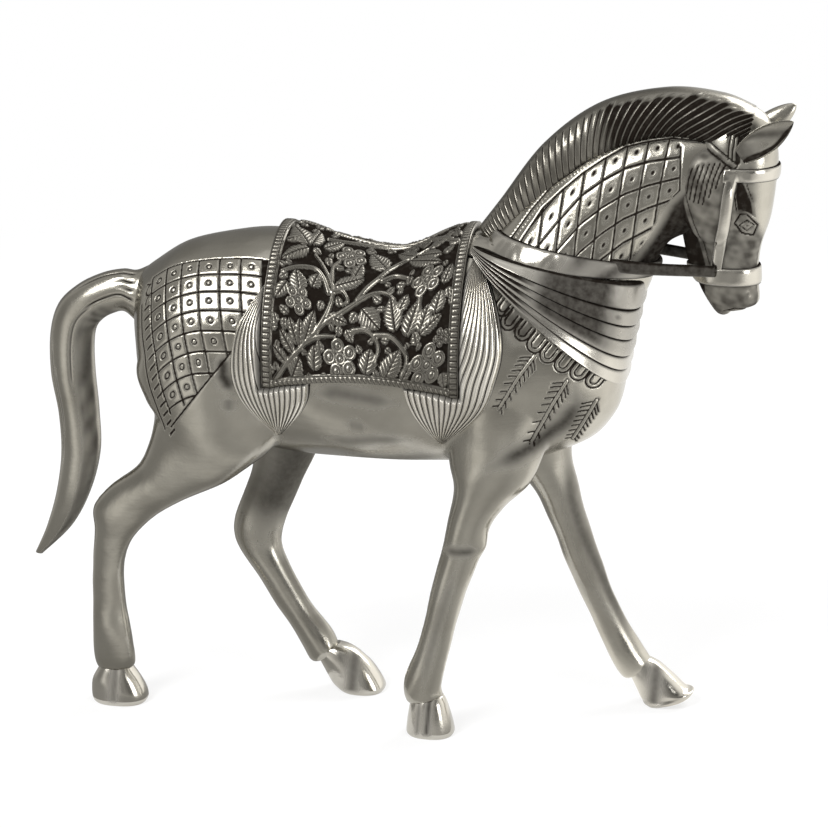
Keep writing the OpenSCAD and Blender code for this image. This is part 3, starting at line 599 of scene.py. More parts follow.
def barrel(x):  # top, bottom and half width of the barrel at x
    return [np.interp(x, barrelTable[:, 0], column) for column in barrelTable.T[1:]]


def barrelOval(x):  # middle, half height and half width of the barrel at x
    top, low, w = barrel(x)
    return (top + low) / 2, (top - low) / 2, w


def wrapArc(co):  # way round the barrel from the spine, in mm
    middle, h, w = barrelOval(co[:, 0])
    angle = np.arctan2(np.abs(co[:, 1]) / w, (co[:, 2] - middle) / h)
    return angle * (w + h) / 2


def wrapPoint(x, arc, lift=0.0):  # on the right side for arc > 0
    middle, h, w = barrelOval(x)
    angle = arc / ((w + h) / 2)
    return np.stack([x + 0 * angle, -(w + lift) * np.sin(angle), middle + (h + lift) * np.cos(angle)], -1)


legs = dict(  # centre line in the side view, depth along it, y at the body and at the foot
    foreRight=dict(line=[(50, 164), (47, 145), (42, 114), (37.5, 101), (33.2, 90), (29.7, 75), (25.2, 60),
                         (20, 38), (15.2, 21), (16.4, 15)], inner=-20, foot=-24,
                   depth=(24, 42, 35, 22, 17, 15, 14.2, 13, 15.6, 16.2)),
    foreLeft=dict(line=[(54, 164), (54, 145), (52, 114), (58.5, 101), (63.2, 90), (68.3, 75), (73.8, 60),
                        (83.2, 38), (91.8, 21.5), (96.5, 14.3)], inner=20, foot=24,
                  depth=(24, 42, 35, 22, 17, 15, 14.2, 13, 14.6, 14.4)),
    hindRight=dict(line=[(-72, 170), (-71.4, 150), (-69.8, 128), (-78.7, 113.8), (-93.5, 98), (-110, 84),
                         (-116.3, 66), (-117.6, 45), (-116.6, 25), (-116, 15.5)], inner=-21.5, foot=-15,
                   depth=(34, 58.5, 57.5, 40, 23, 21, 13.8, 13.9, 17, 16.2)),
    hindLeft=dict(line=[(-66, 170), (-62, 150), (-54, 128), (-51, 110), (-54, 92), (-63, 66), (-55.5, 49.5),
                        (-45.5, 33), (-37, 21), (-34, 14.7)], inner=21.5, foot=15,
                  depth=(34, 58, 52, 33, 22, 20.5, 14.2, 13, 14.6, 13.4)),
    foreWidth=(14, 26, 27, 21, 17, 15, 14, 11.5, 13.5, 13.5),
    hindWidth=(18, 32, 31, 25, 18, 15, 12.5, 11.5, 13.5, 13.5), sleeve=1.6, taper=0.7)


def legRows(leg, width):
    line, depth = np.array(leg["line"], float), leg["depth"]
    last = len(line) - 1
    rows = []
    for i in range(last + 1):
        along = line[min(i + 1, last)] - line[max(i - 1, 0)]
        along = along / np.hypot(*along)
        half = np.array([-along[1], along[0]]) * depth[i] / 2
        f = i / last
        y = leg["inner"] + (leg["foot"] - leg["inner"]) * f * f * (3 - 2 * f)
        rows.append((*(line[i] + half), *(line[i] - half), width[i] / 2, y))
    end, half = line[-1] + along * legs["sleeve"], half * legs["taper"]  # the sleeve closes over the hoof
    rows.append((*(end + half), *(end - half), rows[-1][4] * legs["taper"], y))
    return rows


def press(co, no, spots, mirrored=True):  # soft swellings and hollows: x, y, z, radius, height
    out = np.zeros(len(co))
    for x, y, z, r, h in spots:
        side = np.abs(co[:, 1]) if mirrored else co[:, 1]
        d2 = (co[:, 0] - x) ** 2 + (side - y) ** 2 + (co[:, 2] - z) ** 2
        out += h * np.exp(-d2 / (r * r))
    return co + no * out[:, None]


rumpNet = dict(  # boxes count in columns from the rear and in rows from the spine
    columns=(-95.0, -88.6, -82.2, -75.1, -66.5, -57.8, -48.9), rearStep=6.4, first=18.8, tilt=0.13, step=7.3,
    spread=1.2, spreadOver=(70, 100), lean=0.8, sweep=0.1, edge=((-86, 123.5), (-58.6, 158.1)), line=0.62,
    net=(-0.04, 6.2, -0.05, 7.3), edgeLine=(-0.3, 6.2, 2, 99), ring=1.0, ringLine=0.45, ringOff=3.0,
    dashes=(-0.5, -0.08, 1.2, 8.2), dashLine=0.85, behind=-60, rail=(-99, 99, 1.0, 7.6), railAt=0.7,
    railLine=0.55, arches=(-0.62, -0.05, 0.1, 1.3), archStep=1.6, arch=2.2, archLine=0.5, depth=0.45)


def rumpMarks(co, n):  # engraved net with ring punches, a ladder of dashes behind it
    x, arc = co[:, 0], wrapArc(co)
    step = n["step"] + n["spread"] * smoothStep(*n["spreadOver"], -x)
    j = (arc - n["first"] - n["tilt"] * (x - n["columns"][0])) / step
    along = x - n["lean"] * j - n["sweep"] * j * j
    columns = np.array(n["columns"])
    i = np.interp(along, columns, np.arange(len(columns)))
    i = np.where(along < columns[0], (along - columns[0]) / n["rearStep"], i)
    wide = np.interp(i, np.arange(len(columns) - 1), np.diff(columns))
    (x0, z0), (x1, z1) = n["edge"]
    above = ((co[:, 2] - z0) * (x1 - x0) - (x - x0) * (z1 - z0)) / math.hypot(x1 - x0, z1 - z0)
    inside = within(i, j, n["net"]) & (above > 0)
    line = np.maximum(stroke(fromRound(i) * wide, n["line"]), stroke(fromRound(j) * step, n["line"])) * inside
    edge = stroke(above, n["line"]) * within(i, j, n["edgeLine"])
    cell = np.hypot((i - np.floor(i) - 0.5) * wide, (j - np.floor(j) - 0.5) * n["step"])
    ring = stroke(cell - n["ring"], n["ringLine"]) * (inside & (above > n["ringOff"]))
    behind = x < n["behind"]
    dashes = stroke(fromRound(j * 2) * step / 2, n["dashLine"]) * (within(i, j, n["dashes"]) & behind)
    rail = 0.8 * stroke((i + n["railAt"]) * n["rearStep"], n["railLine"]) * (within(i, j, n["rail"]) & behind)
    nearest = np.round(j * n["archStep"]) / n["archStep"]
    bow = np.hypot((i - n["arches"][1]) * n["rearStep"], (j - nearest) * n["step"])
    arches = stroke(bow - n["arch"], n["archLine"]) * within(i, j, n["arches"])
    return np.maximum.reduce([line, edge, ring, dashes, rail, arches])


shoulder = dict(
    loops=((47.3, 180), (49.8, 175), (55.4, 171.2), (60.3, 166.8), (65.4, 163), (71, 159.2), (76.9, 155.8),
           (82.6, 152)), hang=(-0.6, -0.8), loopLines=((1.5, 0.5), (3.1, 0.6)), loopTop=-4, loopHalf=5,
    sprigs=(((60.2, 162.6), (54.6, 154.5), (47.1, 141.3)), ((72.7, 152.7), (67.3, 143.1), (59.1, 126.9)),
            ((83.4, 143.5), (78.9, 135.1), (73.6, 125.5))), stem=0.55, stemEdge=0.75, edgeLine=0.35,
    barbs=9, barb=4.4, taper=0.45, tips=((-1, -0.1), (0.12, -1)), barbSpan=(0.35, 1.2), barbLine=0.5,
    least=6, depth=0.5, rise=0.4)


def shoulderMarks(co, n):  # double scallops under the drape and three fern sprigs
    x, z = co[:, 0], co[:, 2]
    cut, raised = np.zeros(len(co)), np.zeros(len(co))
    hx, hz = n["hang"]
    for cx, cz in n["loops"]:  # each hangs from the drape's edge
        out = (x - cx) * hx + (z - cz) * hz
        beside = (x - cx) * -hz + (z - cz) * hx
        d = np.where(out > 0, np.hypot(out, beside), np.abs(beside))
        loop = np.maximum.reduce([stroke(d - r, line) for r, line in n["loopLines"]])
        cut = np.maximum(cut, loop * (out > n["loopTop"]) * (np.abs(beside) < n["loopHalf"]))
    for sprig in n["sprigs"]:
        d, _ = lineDist(x, z, sprig)
        raised = np.maximum(raised, stroke(d, n["stem"]))
        cut = np.maximum(cut, 0.8 * stroke(d - n["stemEdge"], n["edgeLine"]))
        for k, start in enumerate(rowAt(sprig, np.linspace(0.04, 0.94, n["barbs"]))):
            size = n["barb"] * (1 - n["taper"] * k / n["barbs"])
            for tip in size * np.array(n["tips"]):  # the barb starts a little off the stem
                barb = [start + tip * f for f in n["barbSpan"]]
                cut = np.maximum(cut, lineStroke(x, z, barb, n["barbLine"]))
    side = np.abs(co[:, 1]) > n["least"]
    return cut * side, raised * side


bodyForm = dict(
    legs=("foreRight", "foreLeft", "hindRight", "hindLeft"),
    bothSides=[(-74, 36, 158, 24, 1.6), (-46, 36, 132, 12, -1.6), (56, 34, 136, 20, 1.6),
               (84, 12, 138, 12, 0.8), (70, 26, 120, 12, -1.0), (30, 36, 122, 12, -1.4)],
    nearSide=[(39.5, -23, 80.5, 4.5, 1.3), (-121, -18, 84, 6, 1.8), (75, -28, 141, 7, -0.9),
              (62, -31, 127, 7, -0.9)],
    waves=18, waveHeight=0.13, chased=((-130, -44, 112, 210), (34, 130, 114, 192)), chasedFrom=5,
    stainsAndShadeFrom=6, stainsAndShade=[  # line, half width, strength, side
        # painted shade: the dark band from the shoulder down to the chest
        ([(75.6, 150), (76.4, 142.5), (71.4, 134.6), (61.1, 126.2), (42, 116)], 4.0, 0.68, -1),
        # painted shade beside the rear skirt; a dark line across the near foreleg at its knee step
        ([(-61.5, 158), (-61.5, 149), (-58, 142)], 2.8, 0.72, -1), ([(24.5, 79.3), (38, 80)], 2.2, 0.64, -1),
        # painted shade over the far thigh and gaskin
        ([(-56, 132), (-46, 112), (-44, 101), (-49, 91), (-56, 79), (-60, 66)], 13, 0.64, 1),
        # stains on the belly
        ([(24, 116), (8, 113), (-20, 112)], 3.0, 0.4, -1), ([(-13.3, 130.6), (-5.7, 129.8)], 2.6, 0.4, -1),
        ([(-24.2, 122.5), (-14, 122.1), (-1.9, 123.9), (10.8, 124.6)], 2.4, 0.44, -1),
        # painted shadow under the cloth's hem
        ([(-26.5, 143.1), (-16.3, 144.3), (7.6, 141.1)], 3.2, 0.54, -1),
        # painted shade beside the rear skirt; painted shade in the scallops under the drape's edge
        ([(-59.5, 140), (-60, 134)], 2.6, 0.5, -1), ([(46, 181), (52, 174), (59, 167.5)], 4.2, 0.64, -1),
        # painted dark reflection down the far foreleg
        ([(66, 114), (67.1, 104.7), (68.9, 89.7), (72.4, 77.2), (77, 65.6), (83, 52.3), (88.5, 39.8),
          (96, 24)], 2.8, 0.58, 1),
        # painted dark reflection down the far hind leg
        ([(-54, 72), (-52.2, 65.4), (-49.8, 54.2), (-43.2, 42.5), (-36.6, 32.4), (-28, 19)], 2.4, 0.5, 1),
        # painted dark reflection down the near foreleg's cannon
        ([(30.5, 75), (25.1, 57.7), (21.5, 44.9), (18.4, 32.8), (16.5, 19)], 1.8, 0.42, -1)])


def stainsAndShadeOn(co, facing, f):  # stains, painted shade and painted dark reflections along the body's folds and legs, on the faces that look to the right
    tone = np.zeros(len(co))
    for line, wide, strength, side in f["stainsAndShade"]:
        d, along = lineDist(co[:, 0], co[:, 2], line)
        ends = smoothStep(0, 0.25, along) * smoothStep(0, 0.25, 1 - along)
        soft = bell(d, wide * (0.55 + 0.6 * ends)) * (0.35 + 0.65 * ends)
        seen = (co[:, 1] * side > f["stainsAndShadeFrom"]) * smoothStep(-0.15, 0.25, -facing)
        tone = np.maximum(tone, strength * soft * seen)
    return tone


def makeBody(f):
    parts = [loft([(x, top, x, low, w, 0) for x, top, low, w in barrelRows], steps=90, sides=56)]
    parts += [loft(legRows(legs[name], legs[name[:4] + "Width"]), steps=70, sides=32) for name in f["legs"]]
    piece = fuse("bodyCasting", parts, voxel=1.0, rounds=14)
    no = normals(piece)
    co = press(points(piece), no, f["bothSides"])
    co = press(co, no, f["nearSide"], False)
    setPoints(piece, co + no * (f["waveHeight"] * handWork(co, f["waves"], seed=3))[:, None])
    chased = [within(co[:, 0], co[:, 2], box) for box in f["chased"]]
    refine(piece, np.any(chased, axis=0) & (np.abs(co[:, 1]) > f["chasedFrom"]))
    co = points(piece)
    rump = rumpMarks(co, rumpNet)
    cut, raised = shoulderMarks(co, shoulder)
    depth = rumpNet["depth"] * rump + shoulder["depth"] * cut - shoulder["rise"] * raised
    tone = stainsAndShadeOn(co, normals(piece)[:, 1], f)
    chase(piece, depth, np.maximum.reduce([hollowShade(piece, gain=4), tone, 1.3 * rump, 1.3 * cut]))
    nodes = ["body_half_right", "body_half_left", "fore_shank_right", "fore_shank_left", "hind_shank_right",
             "hind_shank_left"]
    return finishPiece(piece, castSilver, nodes)


# neck: arched, with a chased net under a beaded line

neckRows = [(36, 198, 92, 168, 26, 0), (43, 208, 100, 184, 23, 0), (55, 221, 103.3, 195, 19.5, 0),
            (71, 234, 107, 201.5, 17.5, 0), (91, 243, 111.5, 204.5, 15, 0), (114, 247, 117.5, 207, 13, 0),
            (124, 247, 125, 218, 11, 0)]
neckNet = dict(
    first=59.6, step=7.2, level=212.0, lean=0.04, turn=0.014, line=0.62, dot=1.2, dotRing=1.7, least=4,
    end=((90, 190), (94, 197.3), (99.1, 204.7), (103.6, 212.9), (106.5, 218.9), (112, 224.9), (111.7, 234.4),
         (111.3, 250)), endSpan=(222, 241),
    sweep=((50, 191), (61, 205), (67, 212.6), (75.3, 222.2), (83.3, 228.1), (91.3, 232.6), (100, 235.3),
           (116, 238)), gaps=((60, 11.0), (75, 10.6), (99, 8.9), (112, 7.6)),
    beads=((44, 198), (48, 204), (55.1, 214.6), (62.8, 224), (75.3, 233.4), (82, 237.8), (90, 241.7),
           (98, 244.1), (106, 245.4), (119, 245.6)), beadCount=62,
    rim=((47, 195), (52.8, 204.7), (59.8, 215.9), (67.2, 223.1), (74.6, 229.6), (82, 234.8), (90.4, 239.7),
         (98.5, 241.9), (108, 243.5), (119, 243)), depth=0.4, beadRise=0.3)


def neckMarks(co, n):  # slanted net with punch marks under a double line, and painted shade at the throat
    x, z = co[:, 0], co[:, 2]
    side = np.abs(co[:, 1]) > n["least"]
    beads, along = lineDist(x, z, n["beads"])
    lean = n["lean"] + n["turn"] * (x - n["first"]) / n["step"]
    p = (x - n["first"] - lean * (z - n["level"])) / n["step"]
    wide = lineAt(x, n["gaps"])
    q = (lineAt(x, n["sweep"]) - z) / wide
    beyond = x - lineAt(z, n["end"], 1)  # past the net's last line, at the throat
    inside = (z < lineAt(x, n["rim"])) & (beyond < 0) & side
    line = np.maximum(stroke(fromRound(p) * n["step"], n["line"]),
                      stroke(fromRound(q) * wide * 0.75, n["line"]))
    cell = np.hypot((p - np.floor(p) - 0.5) * n["step"], (q - np.floor(q) - 0.5) * wide * 0.8)
    dots = np.maximum(stroke(cell, n["dot"]), 0.15 * stroke(cell - n["dotRing"], 0.4))
    edge = np.maximum(lineStroke(x, z, n["rim"], 0.55), stroke(beads, 0.5)) * side
    last = stroke(beyond, 0.6) * side * (z > n["endSpan"][0]) * (z < n["endSpan"][1])
    # painted shade on the neck's front past the net, where it meets the head
    throat = 0.75 * smoothStep(-1.0, 5.0, beyond) * (1 - smoothStep(222, 232, z)) * smoothStep(190, 196, z)
    bead = stroke(beads - 0.9, 0.9) * np.sin(along * math.pi * n["beadCount"]) ** 2 * side
    return np.maximum.reduce([line * inside, dots * inside, edge, last]), bead, throat


def makeNeck(n):
    piece = fuse("neckCasting", [loft(neckRows, steps=70, sides=56)], voxel=0.55, rounds=10)
    cut, bead, throat = neckMarks(points(piece), n)
    shade = np.maximum.reduce([hollowShade(piece, gain=4), throat, 1.3 * cut])
    chase(piece, n["depth"] * cut - n["beadRise"] * bead, shade)
    return finishPiece(piece, castSilver, ["neck"])


# head: skull, round jowls, muzzle and lips

headForm = dict(
    skull=[(128, 256, 138, 255.5, 5, 0), (121, 249, 144.5, 250, 10.5, 0), (116, 238, 147.7, 238, 13.5, 0),
           (114.5, 226, 147.3, 226, 14.0, 0), (115.5, 214, 145.8, 213.5, 12.2, 0),
           (118, 204, 142.8, 203, 10.6, 0), (118.5, 195, 141.8, 194.5, 9.6, 0),
           (118.8, 187.5, 142.2, 186.5, 9.6, 0), (121.6, 181.5, 142.6, 180.5, 9.2, 0),
           (125.2, 176, 140.4, 177.8, 7.0, 0)],
    throat=[(124, 240, 111.5, 237, 6.5, 0), (120, 226, 110, 226, 6.5, 0), (120, 214, 110.5, 214, 6.5, 0),
            (122, 204, 112.5, 204, 6, 0), (124, 194, 115, 194, 5.5, 0), (126, 186, 118.5, 187, 5, 0)],
    jowl=((123.9, 9.2, 222), (12.4, 7.2, 18.5), -7), chin=((128.9, 0, 177.4), (3.8, 5.6, 3.6), 0),
    lip=((138, 0, 182.5), (4.6, 8.6, 5.2), 0))
face = dict(  # lines in the side view, cut alike on both sides
    eye=(137.5, 211.8), eyeShape=1.3, eyeSize=2.0, pupil=0.9,
    lids=((133.1, 212.8), (135, 216.1), (137.6, 216), (141.6, 211.6), (140, 207.6), (135.6, 208.8),
          (133.1, 212.8)),
    temple=((134, 233), (132.6, 225.3), (133.8, 218)), brow=((139.6, 221.4), (137.2, 227.6), (136, 232.4)),
    jaw=((113.8, 231.3), (113.2, 225.9), (115, 219.9), (117.6, 211.8), (120.8, 203.6), (123.5, 195.2)),
    folds=(("temple", 0.9), ("brow", 0.7), ("jaw", 0.7)), fold=0.6,
    hollow=((133.6, 233.6), (132.2, 225.3), (133.5, 217.4), (137.4, 216), (141.3, 213.6), (139.8, 221.4),
            (137.2, 227.6)),
    hair=((116.2, 233.4, 114.7, 223.9), (118.6, 234.6, 115.9, 221.5), (120.6, 235.2, 117.7, 220.9),
          (122.7, 235.5, 119.5, 220.6), (124.8, 235.8, 121.2, 220.3), (126.9, 235.8, 123.6, 223.3),
          (129, 235.5, 126, 226.8)),
    crown=((119.5, 243.5), (125, 239.8), (131.8, 235.2)), crownHalf=1.3,
    forelock=((136.5, 255), (135.5, 250.8), (133.8, 245.4), (133.2, 239.9), (133.2, 236.5)), lockFrom=234.5,
    strands=((-3.6, 0.6), (-1.9, 0.6), (0.2, 1.9)),  # shift and width of the forelock's lines
    lips=((129.5, 176.6), (133.7, 178.2), (138.4, 177.8), (142, 178.4)), lipsFrom=128, nostril=(138.6, 184.4),
    stains=((127.2, 187.3, 127.8, 184), (131.2, 187.5, 131, 186), (134.6, 187, 135, 183.6)), stainWidth=2.2,
    cut=0.7, eyeRise=0.7, templeDepth=0.9)
# painted shade on the sides of the head, mottled, lighter at the front
cheekTone = dict(base=0.53, slow=(7, 11, 0.07), quick=(3, 12, 0.04), most=0.66, top=(238, 246), least=3,
                 front=138, noseFront=3.5, noseFrom=(204, 214), fade=5, throatTop=(236, 243))


def faceMarks(co, f):
    x, z, aside = co[:, 0], co[:, 2], np.abs(co[:, 1])
    side, out = aside > 4, aside > 2
    ring = np.abs(x - f["eye"][0]) / f["eyeShape"] + np.abs(z - f["eye"][1])
    eyeball = (np.clip(1 - (ring / f["eyeSize"]) ** 2, 0, 1) - stroke(ring, f["pupil"])) * side
    cuts = [lineStroke(x, z, f["lids"], 0.55), 0.8 * stroke(ring - 2.1, 0.5)]
    cuts += [strength * lineStroke(x, z, f[line], f["fold"]) for line, strength in f["folds"]]
    for x0, z0, x1, z1 in f["hair"]:
        bend = (0.5 * (x0 + x1) - 0.5, 0.5 * (z0 + z1) + 0.6)
        cuts.append(0.85 * lineStroke(x, z, [(x0, z0), bend, (x1 - 0.3, z1)], f["fold"]))
    cuts.append(0.9 * stroke(lineDist(x, z, f["crown"])[0] - f["crownHalf"], f["fold"]))
    for shift, wide in f["strands"]:  # in front of the mane
        cuts.append(lineStroke(x - shift, z + 0.25 * shift, f["forelock"], wide) * (z > f["lockFrom"]))
    lips = 0.9 * lineStroke(x, z, f["lips"], f["fold"]) * ((x > f["lipsFrom"]) | out)
    stains = [lineStroke(x, z, [(x0, z0), (x1, z1)], f["stainWidth"]) for x0, z0, x1, z1 in f["stains"]]
    blotch = 0.5 * np.maximum.reduce(stains) * side * (0.75 + 0.25 * np.sin(2.1 * x + 1.3 * z))
    nose = np.hypot((x - f["nostril"][0]) / 0.7, z - f["nostril"][1])
    stain = np.maximum.reduce([blotch, 0.6 * stroke(nose, 1.5) * out, 0.8 * stroke(ring, 1.0) * side])
    return np.maximum(np.maximum.reduce(cuts) * side, lips), eyeball, stain


def cheekShade(co, k):  # painted shade, mottled at random, darkens the sides of the head; the forehead stays bright further back than the nose
    z = co[:, 2]
    waves = [gain * handWork(co, length, seed) for length, seed, gain in (k["slow"], k["quick"])]
    tone = k["base"] + sum(waves)
    bridge = k["front"] + k["noseFront"] * (1 - smoothStep(*k["noseFrom"], z))
    side = (np.abs(co[:, 1]) > k["least"]) * (1 - smoothStep(bridge, bridge + k["fade"], co[:, 0]))
    return np.clip(tone, 0, k["most"]) * (1 - smoothStep(*k["top"], z)) * side


def makeHead(f):
    parts = [loft(f["skull"], steps=70, sides=48, power=2.2), loft(f["throat"], steps=50, sides=32),
             ball(*f["chin"]), ball(*f["lip"])]
    (x, y, z), radii, turn = f["jowl"]
    parts += [ball((x, side * y, z), radii, turn) for side in (-1, 1)]
    piece = fuse("headCasting", parts, voxel=0.5, rounds=6)
    co = points(piece)
    x, z = co[:, 0], co[:, 2]
    cut, eye, stain = faceMarks(co, face)
    rim, _ = lineDist(x, z, face["hollow"] + face["hollow"][:1])
    temple = (insideOf(x, z, face["hollow"]) & (np.abs(co[:, 1]) > 5)) * smoothStep(0, 1.4, rim)
    behind = lineAt(z, face["jaw"][::-1], 1) - x
    # painted shadow behind the jaw line, where the head meets the neck
    throat = 0.8 * smoothStep(0.3, 2.0, behind) * (1 - smoothStep(*cheekTone["throatTop"], z))
    depth = face["cut"] * cut - face["eyeRise"] * eye + face["templeDepth"] * temple
    shades = [hollowShade(piece, gain=5), 1.2 * cut, 0.85 * temple, throat, stain, cheekShade(co, cheekTone)]
    chase(piece, depth, np.maximum.reduce(shades))
    return finishPiece(piece, castSilver, ["head"])


# mane: cropped crest with slanted strokes, dark towards the poll

maneRows = [(33, 204.5, 48, 194, 7, 0), (41.5, 216, 56, 199, 8.6, 0), (58, 238.5, 69, 219, 9.2, 0),
            (79.5, 255, 86, 235, 9.2, 0), (105, 261.7, 106, 242.5, 9.4, 0), (126, 260.3, 124, 239, 11.2, 0),
            (138.5, 255.5, 135.5, 240.5, 11.6, 0)]
maneCut = dict(steps=640, sides=220, strokes=45, apart=0.6, apartFrom=0.45, lean=(0.02, 0.085),
               dark=(0.4, 0.56), depth=0.8, darkDepth=0.35, first=(0.06, 0.08), uneven=0.05,
               fade=(0.1, 0.14), width=(0.11, 0.05), strand=0.1)


def makeMane(c):
    co, faces = loft(maneRows, c["steps"], c["sides"])
    s, a = loftPlaces(c["steps"], c["sides"])
    down = 1 - np.cos(a)  # 0 on the crest
    thin = s - c["apart"] * np.clip(s - c["apartFrom"], 0, 1) ** 2  # strokes lie further apart near the poll
    phase = (thin + (c["lean"][0] + c["lean"][1] * s ** 1.5) * down) * c["strokes"]
    gap, number = fromRound(phase), np.round(phase)
    poll = smoothStep(*c["dark"], s)
    first = c["first"][0] + c["first"][1] * poll + c["uneven"] * np.sin(7 * number)
    first = first + c["uneven"] * poll * np.sin(2.3 * number)
    start = smoothStep(first, first + c["fade"][0] + c["fade"][1] * poll, down)  # strokes begin unevenly
    groove = bell(gap, c["width"][0] + c["width"][1] * poll) * start
    dark = poll * start * (1 - 0.92 * bell(0.5 - gap, c["strand"]))  # a bright strand between two grooves
    piece = makeMesh("maneCrest", co, faces)
    depth = groove * c["depth"] * (0.35 + 0.65 * poll) + c["darkDepth"] * dark
    setPoints(piece, co - normals(piece) * depth[:, None])
    mark(piece, np.maximum(groove, 0.92 * dark))
    return finishPiece(piece, agedSilver, ["mane_crest"])


# ears: hollow leaves with a bright rim

ears = dict(
    right=dict(base=(136.6, -16.2, 240.8), tip=(153.6, -15.8, 253.2), node="ear_right", width=5.3,
               look=(0.35, -1.0, 0.1), blunt=0.75, inside=0.64, root=0.22),
    left=dict(base=(134.3, 13.0, 239.0), tip=(152.7, 14.6, 254.0), node="ear_left", width=4.8,
              look=(0.35, 1.0, 0.1), blunt=0.6, inside=0.5, root=0.16))
earForm = dict(steps=48, sides=40, sunk=0.12, bend=1.15, least=0.15, tip=0.02, back=0.62, scoop=0.8, lip=0.35,
               inset=0.98, closed=0.02, rim=3, rimShade=0.05, foldAt=4, fold=1.6, rootShade=0.6)


def makeEar(name, e, f):
    base, tip = np.array(e["base"]), np.array(e["tip"])
    axis = tip - base
    length = np.linalg.norm(axis)
    axis = axis / length
    look = np.array(e["look"])  # where the hollow faces
    look -= axis * (look @ axis)
    look /= np.linalg.norm(look)
    beside = np.cross(look, axis)
    steps, sides = f["steps"], f["sides"]
    co = []
    for t in np.linspace(0, 1, steps + 1):
        swell = min(1, e["root"] + (1 - e["root"]) * t) ** f["bend"]
        w = e["width"] * (np.sin(math.pi * swell) ** e["blunt"] if t < 1 else f["tip"]) + f["least"]
        centre = base + axis * length * (t - f["sunk"]) / (1 - f["sunk"])
        for j in range(sides):
            a = 2 * math.pi * j / sides
            if j < sides // 2:  # back of the ear
                p = beside * w * math.cos(a) - look * w * f["back"] * math.sin(a)
            else:  # scoop
                deep = (f["lip"] + f["back"] * w * math.sin(a) * f["scoop"]) * (1 if t > f["closed"] else 0)
                p = beside * w * math.cos(a) * f["inset"] + look * deep
            co.append(centre + p)
    piece = makeMesh(name, co, tubeFaces(steps, sides))
    j = np.tile(np.arange(sides), steps + 1)
    t = np.repeat(np.linspace(0, 1, steps + 1), sides)
    inside = (j >= sides // 2 + f["rim"]) & (j < sides - f["rim"])
    fold = 0.9 * bell(j - sides // 2 - f["foldAt"], f["fold"])
    shade = e["inside"] * (0.55 + 0.45 * np.sin(9 * t + 0.5 * j)) + fold
    shade = np.maximum(shade, f["rootShade"] * (1 - smoothStep(0.08, 0.5, t)))
    mark(piece, np.where(inside, shade, f["rimShade"]))
    return finishPiece(piece, castSilver, [e["node"]])


# tail: thick falling curve with strands at its root

tailRows = [(-97, 185, -97, 150, 9, 0), (-106, 180.4, -106, 158.6, 8.3, 0),
            (-112.5, 180.4, -111.5, 163, 7.8, 0), (-121, 178.4, -117, 161.8, 8, 0),
            (-131, 173.4, -121.5, 159, 8.4, 0), (-139.5, 165.3, -124.5, 154.8, 8.5, 0),
            (-143.4, 153, -125.6, 147.5, 8.5, 0), (-143.8, 136, -125.5, 136, 8.5, 0),
            (-141.2, 119, -124.5, 120, 8.5, 0), (-140.8, 102, -124.5, 103, 8, 0),
            (-143.5, 85, -129, 86, 7, 0), (-148.5, 69, -137.5, 70, 4.5, 0), (-154, 57, -151, 56.4, 1.5, 0)]
tailCut = dict(steps=360, sides=96, strands=(0.35, 0.8, 1.15, 1.5, 1.85), strand=0.055, turn=0.5, reach=0.4,
               root=(0.07, 0.1), fade=0.1, depth=0.6, looseStrand=0.05, looseFade=0.05, shadow=0.6,
               loose=((0.75, 0.5, 0.78), (0.95, 0.55, 0.72), (1.75, 0.3, 0.62)))  # angle, start, end


def makeTail(c):
    co, faces = loft(tailRows, c["steps"], c["sides"])
    piece = makeMesh("tail", co, faces)
    s, a = loftPlaces(c["steps"], c["sides"])
    a = np.minimum(a, 2 * math.pi - a)
    cut = np.zeros(len(co))
    for k, at in enumerate(c["strands"]):  # hair lines that run out of the root
        end = c["reach"] * (0.65 + 0.35 * math.sin(2.4 * k + 1))
        strand = bell(a - at - c["turn"] * s, c["strand"]) * smoothStep(*c["root"], s)
        cut = np.maximum(cut, strand * (1 - smoothStep(end - c["fade"], end, s)))
    for at, s0, s1 in c["loose"]:  # strands lower down
        strand = 0.8 * bell(a - at, c["looseStrand"]) * smoothStep(s0, s0 + c["looseFade"], s)
        cut = np.maximum(cut, strand * (1 - smoothStep(s1 - c["looseFade"], s1, s)))
    patch = 0.5 + 0.5 * np.sin(46 * s + 3 * np.sin(19 * s)) * np.sin(5 * a + 31 * s)
    inner = smoothStep(1.75, 2.1, a) * (1 - 0.8 * smoothStep(2.75, 3.0, a)) * smoothStep(0.16, 0.28, s)
    setPoints(piece, co - normals(piece) * (cut * c["depth"])[:, None])
    mark(piece, np.maximum(cut, c["shadow"] * inner * (0.55 + 0.45 * patch)))
    return finishPiece(piece, castSilver, ["tail"])


# hooves: polished, with sunk streaks darkened as painted dark reflections

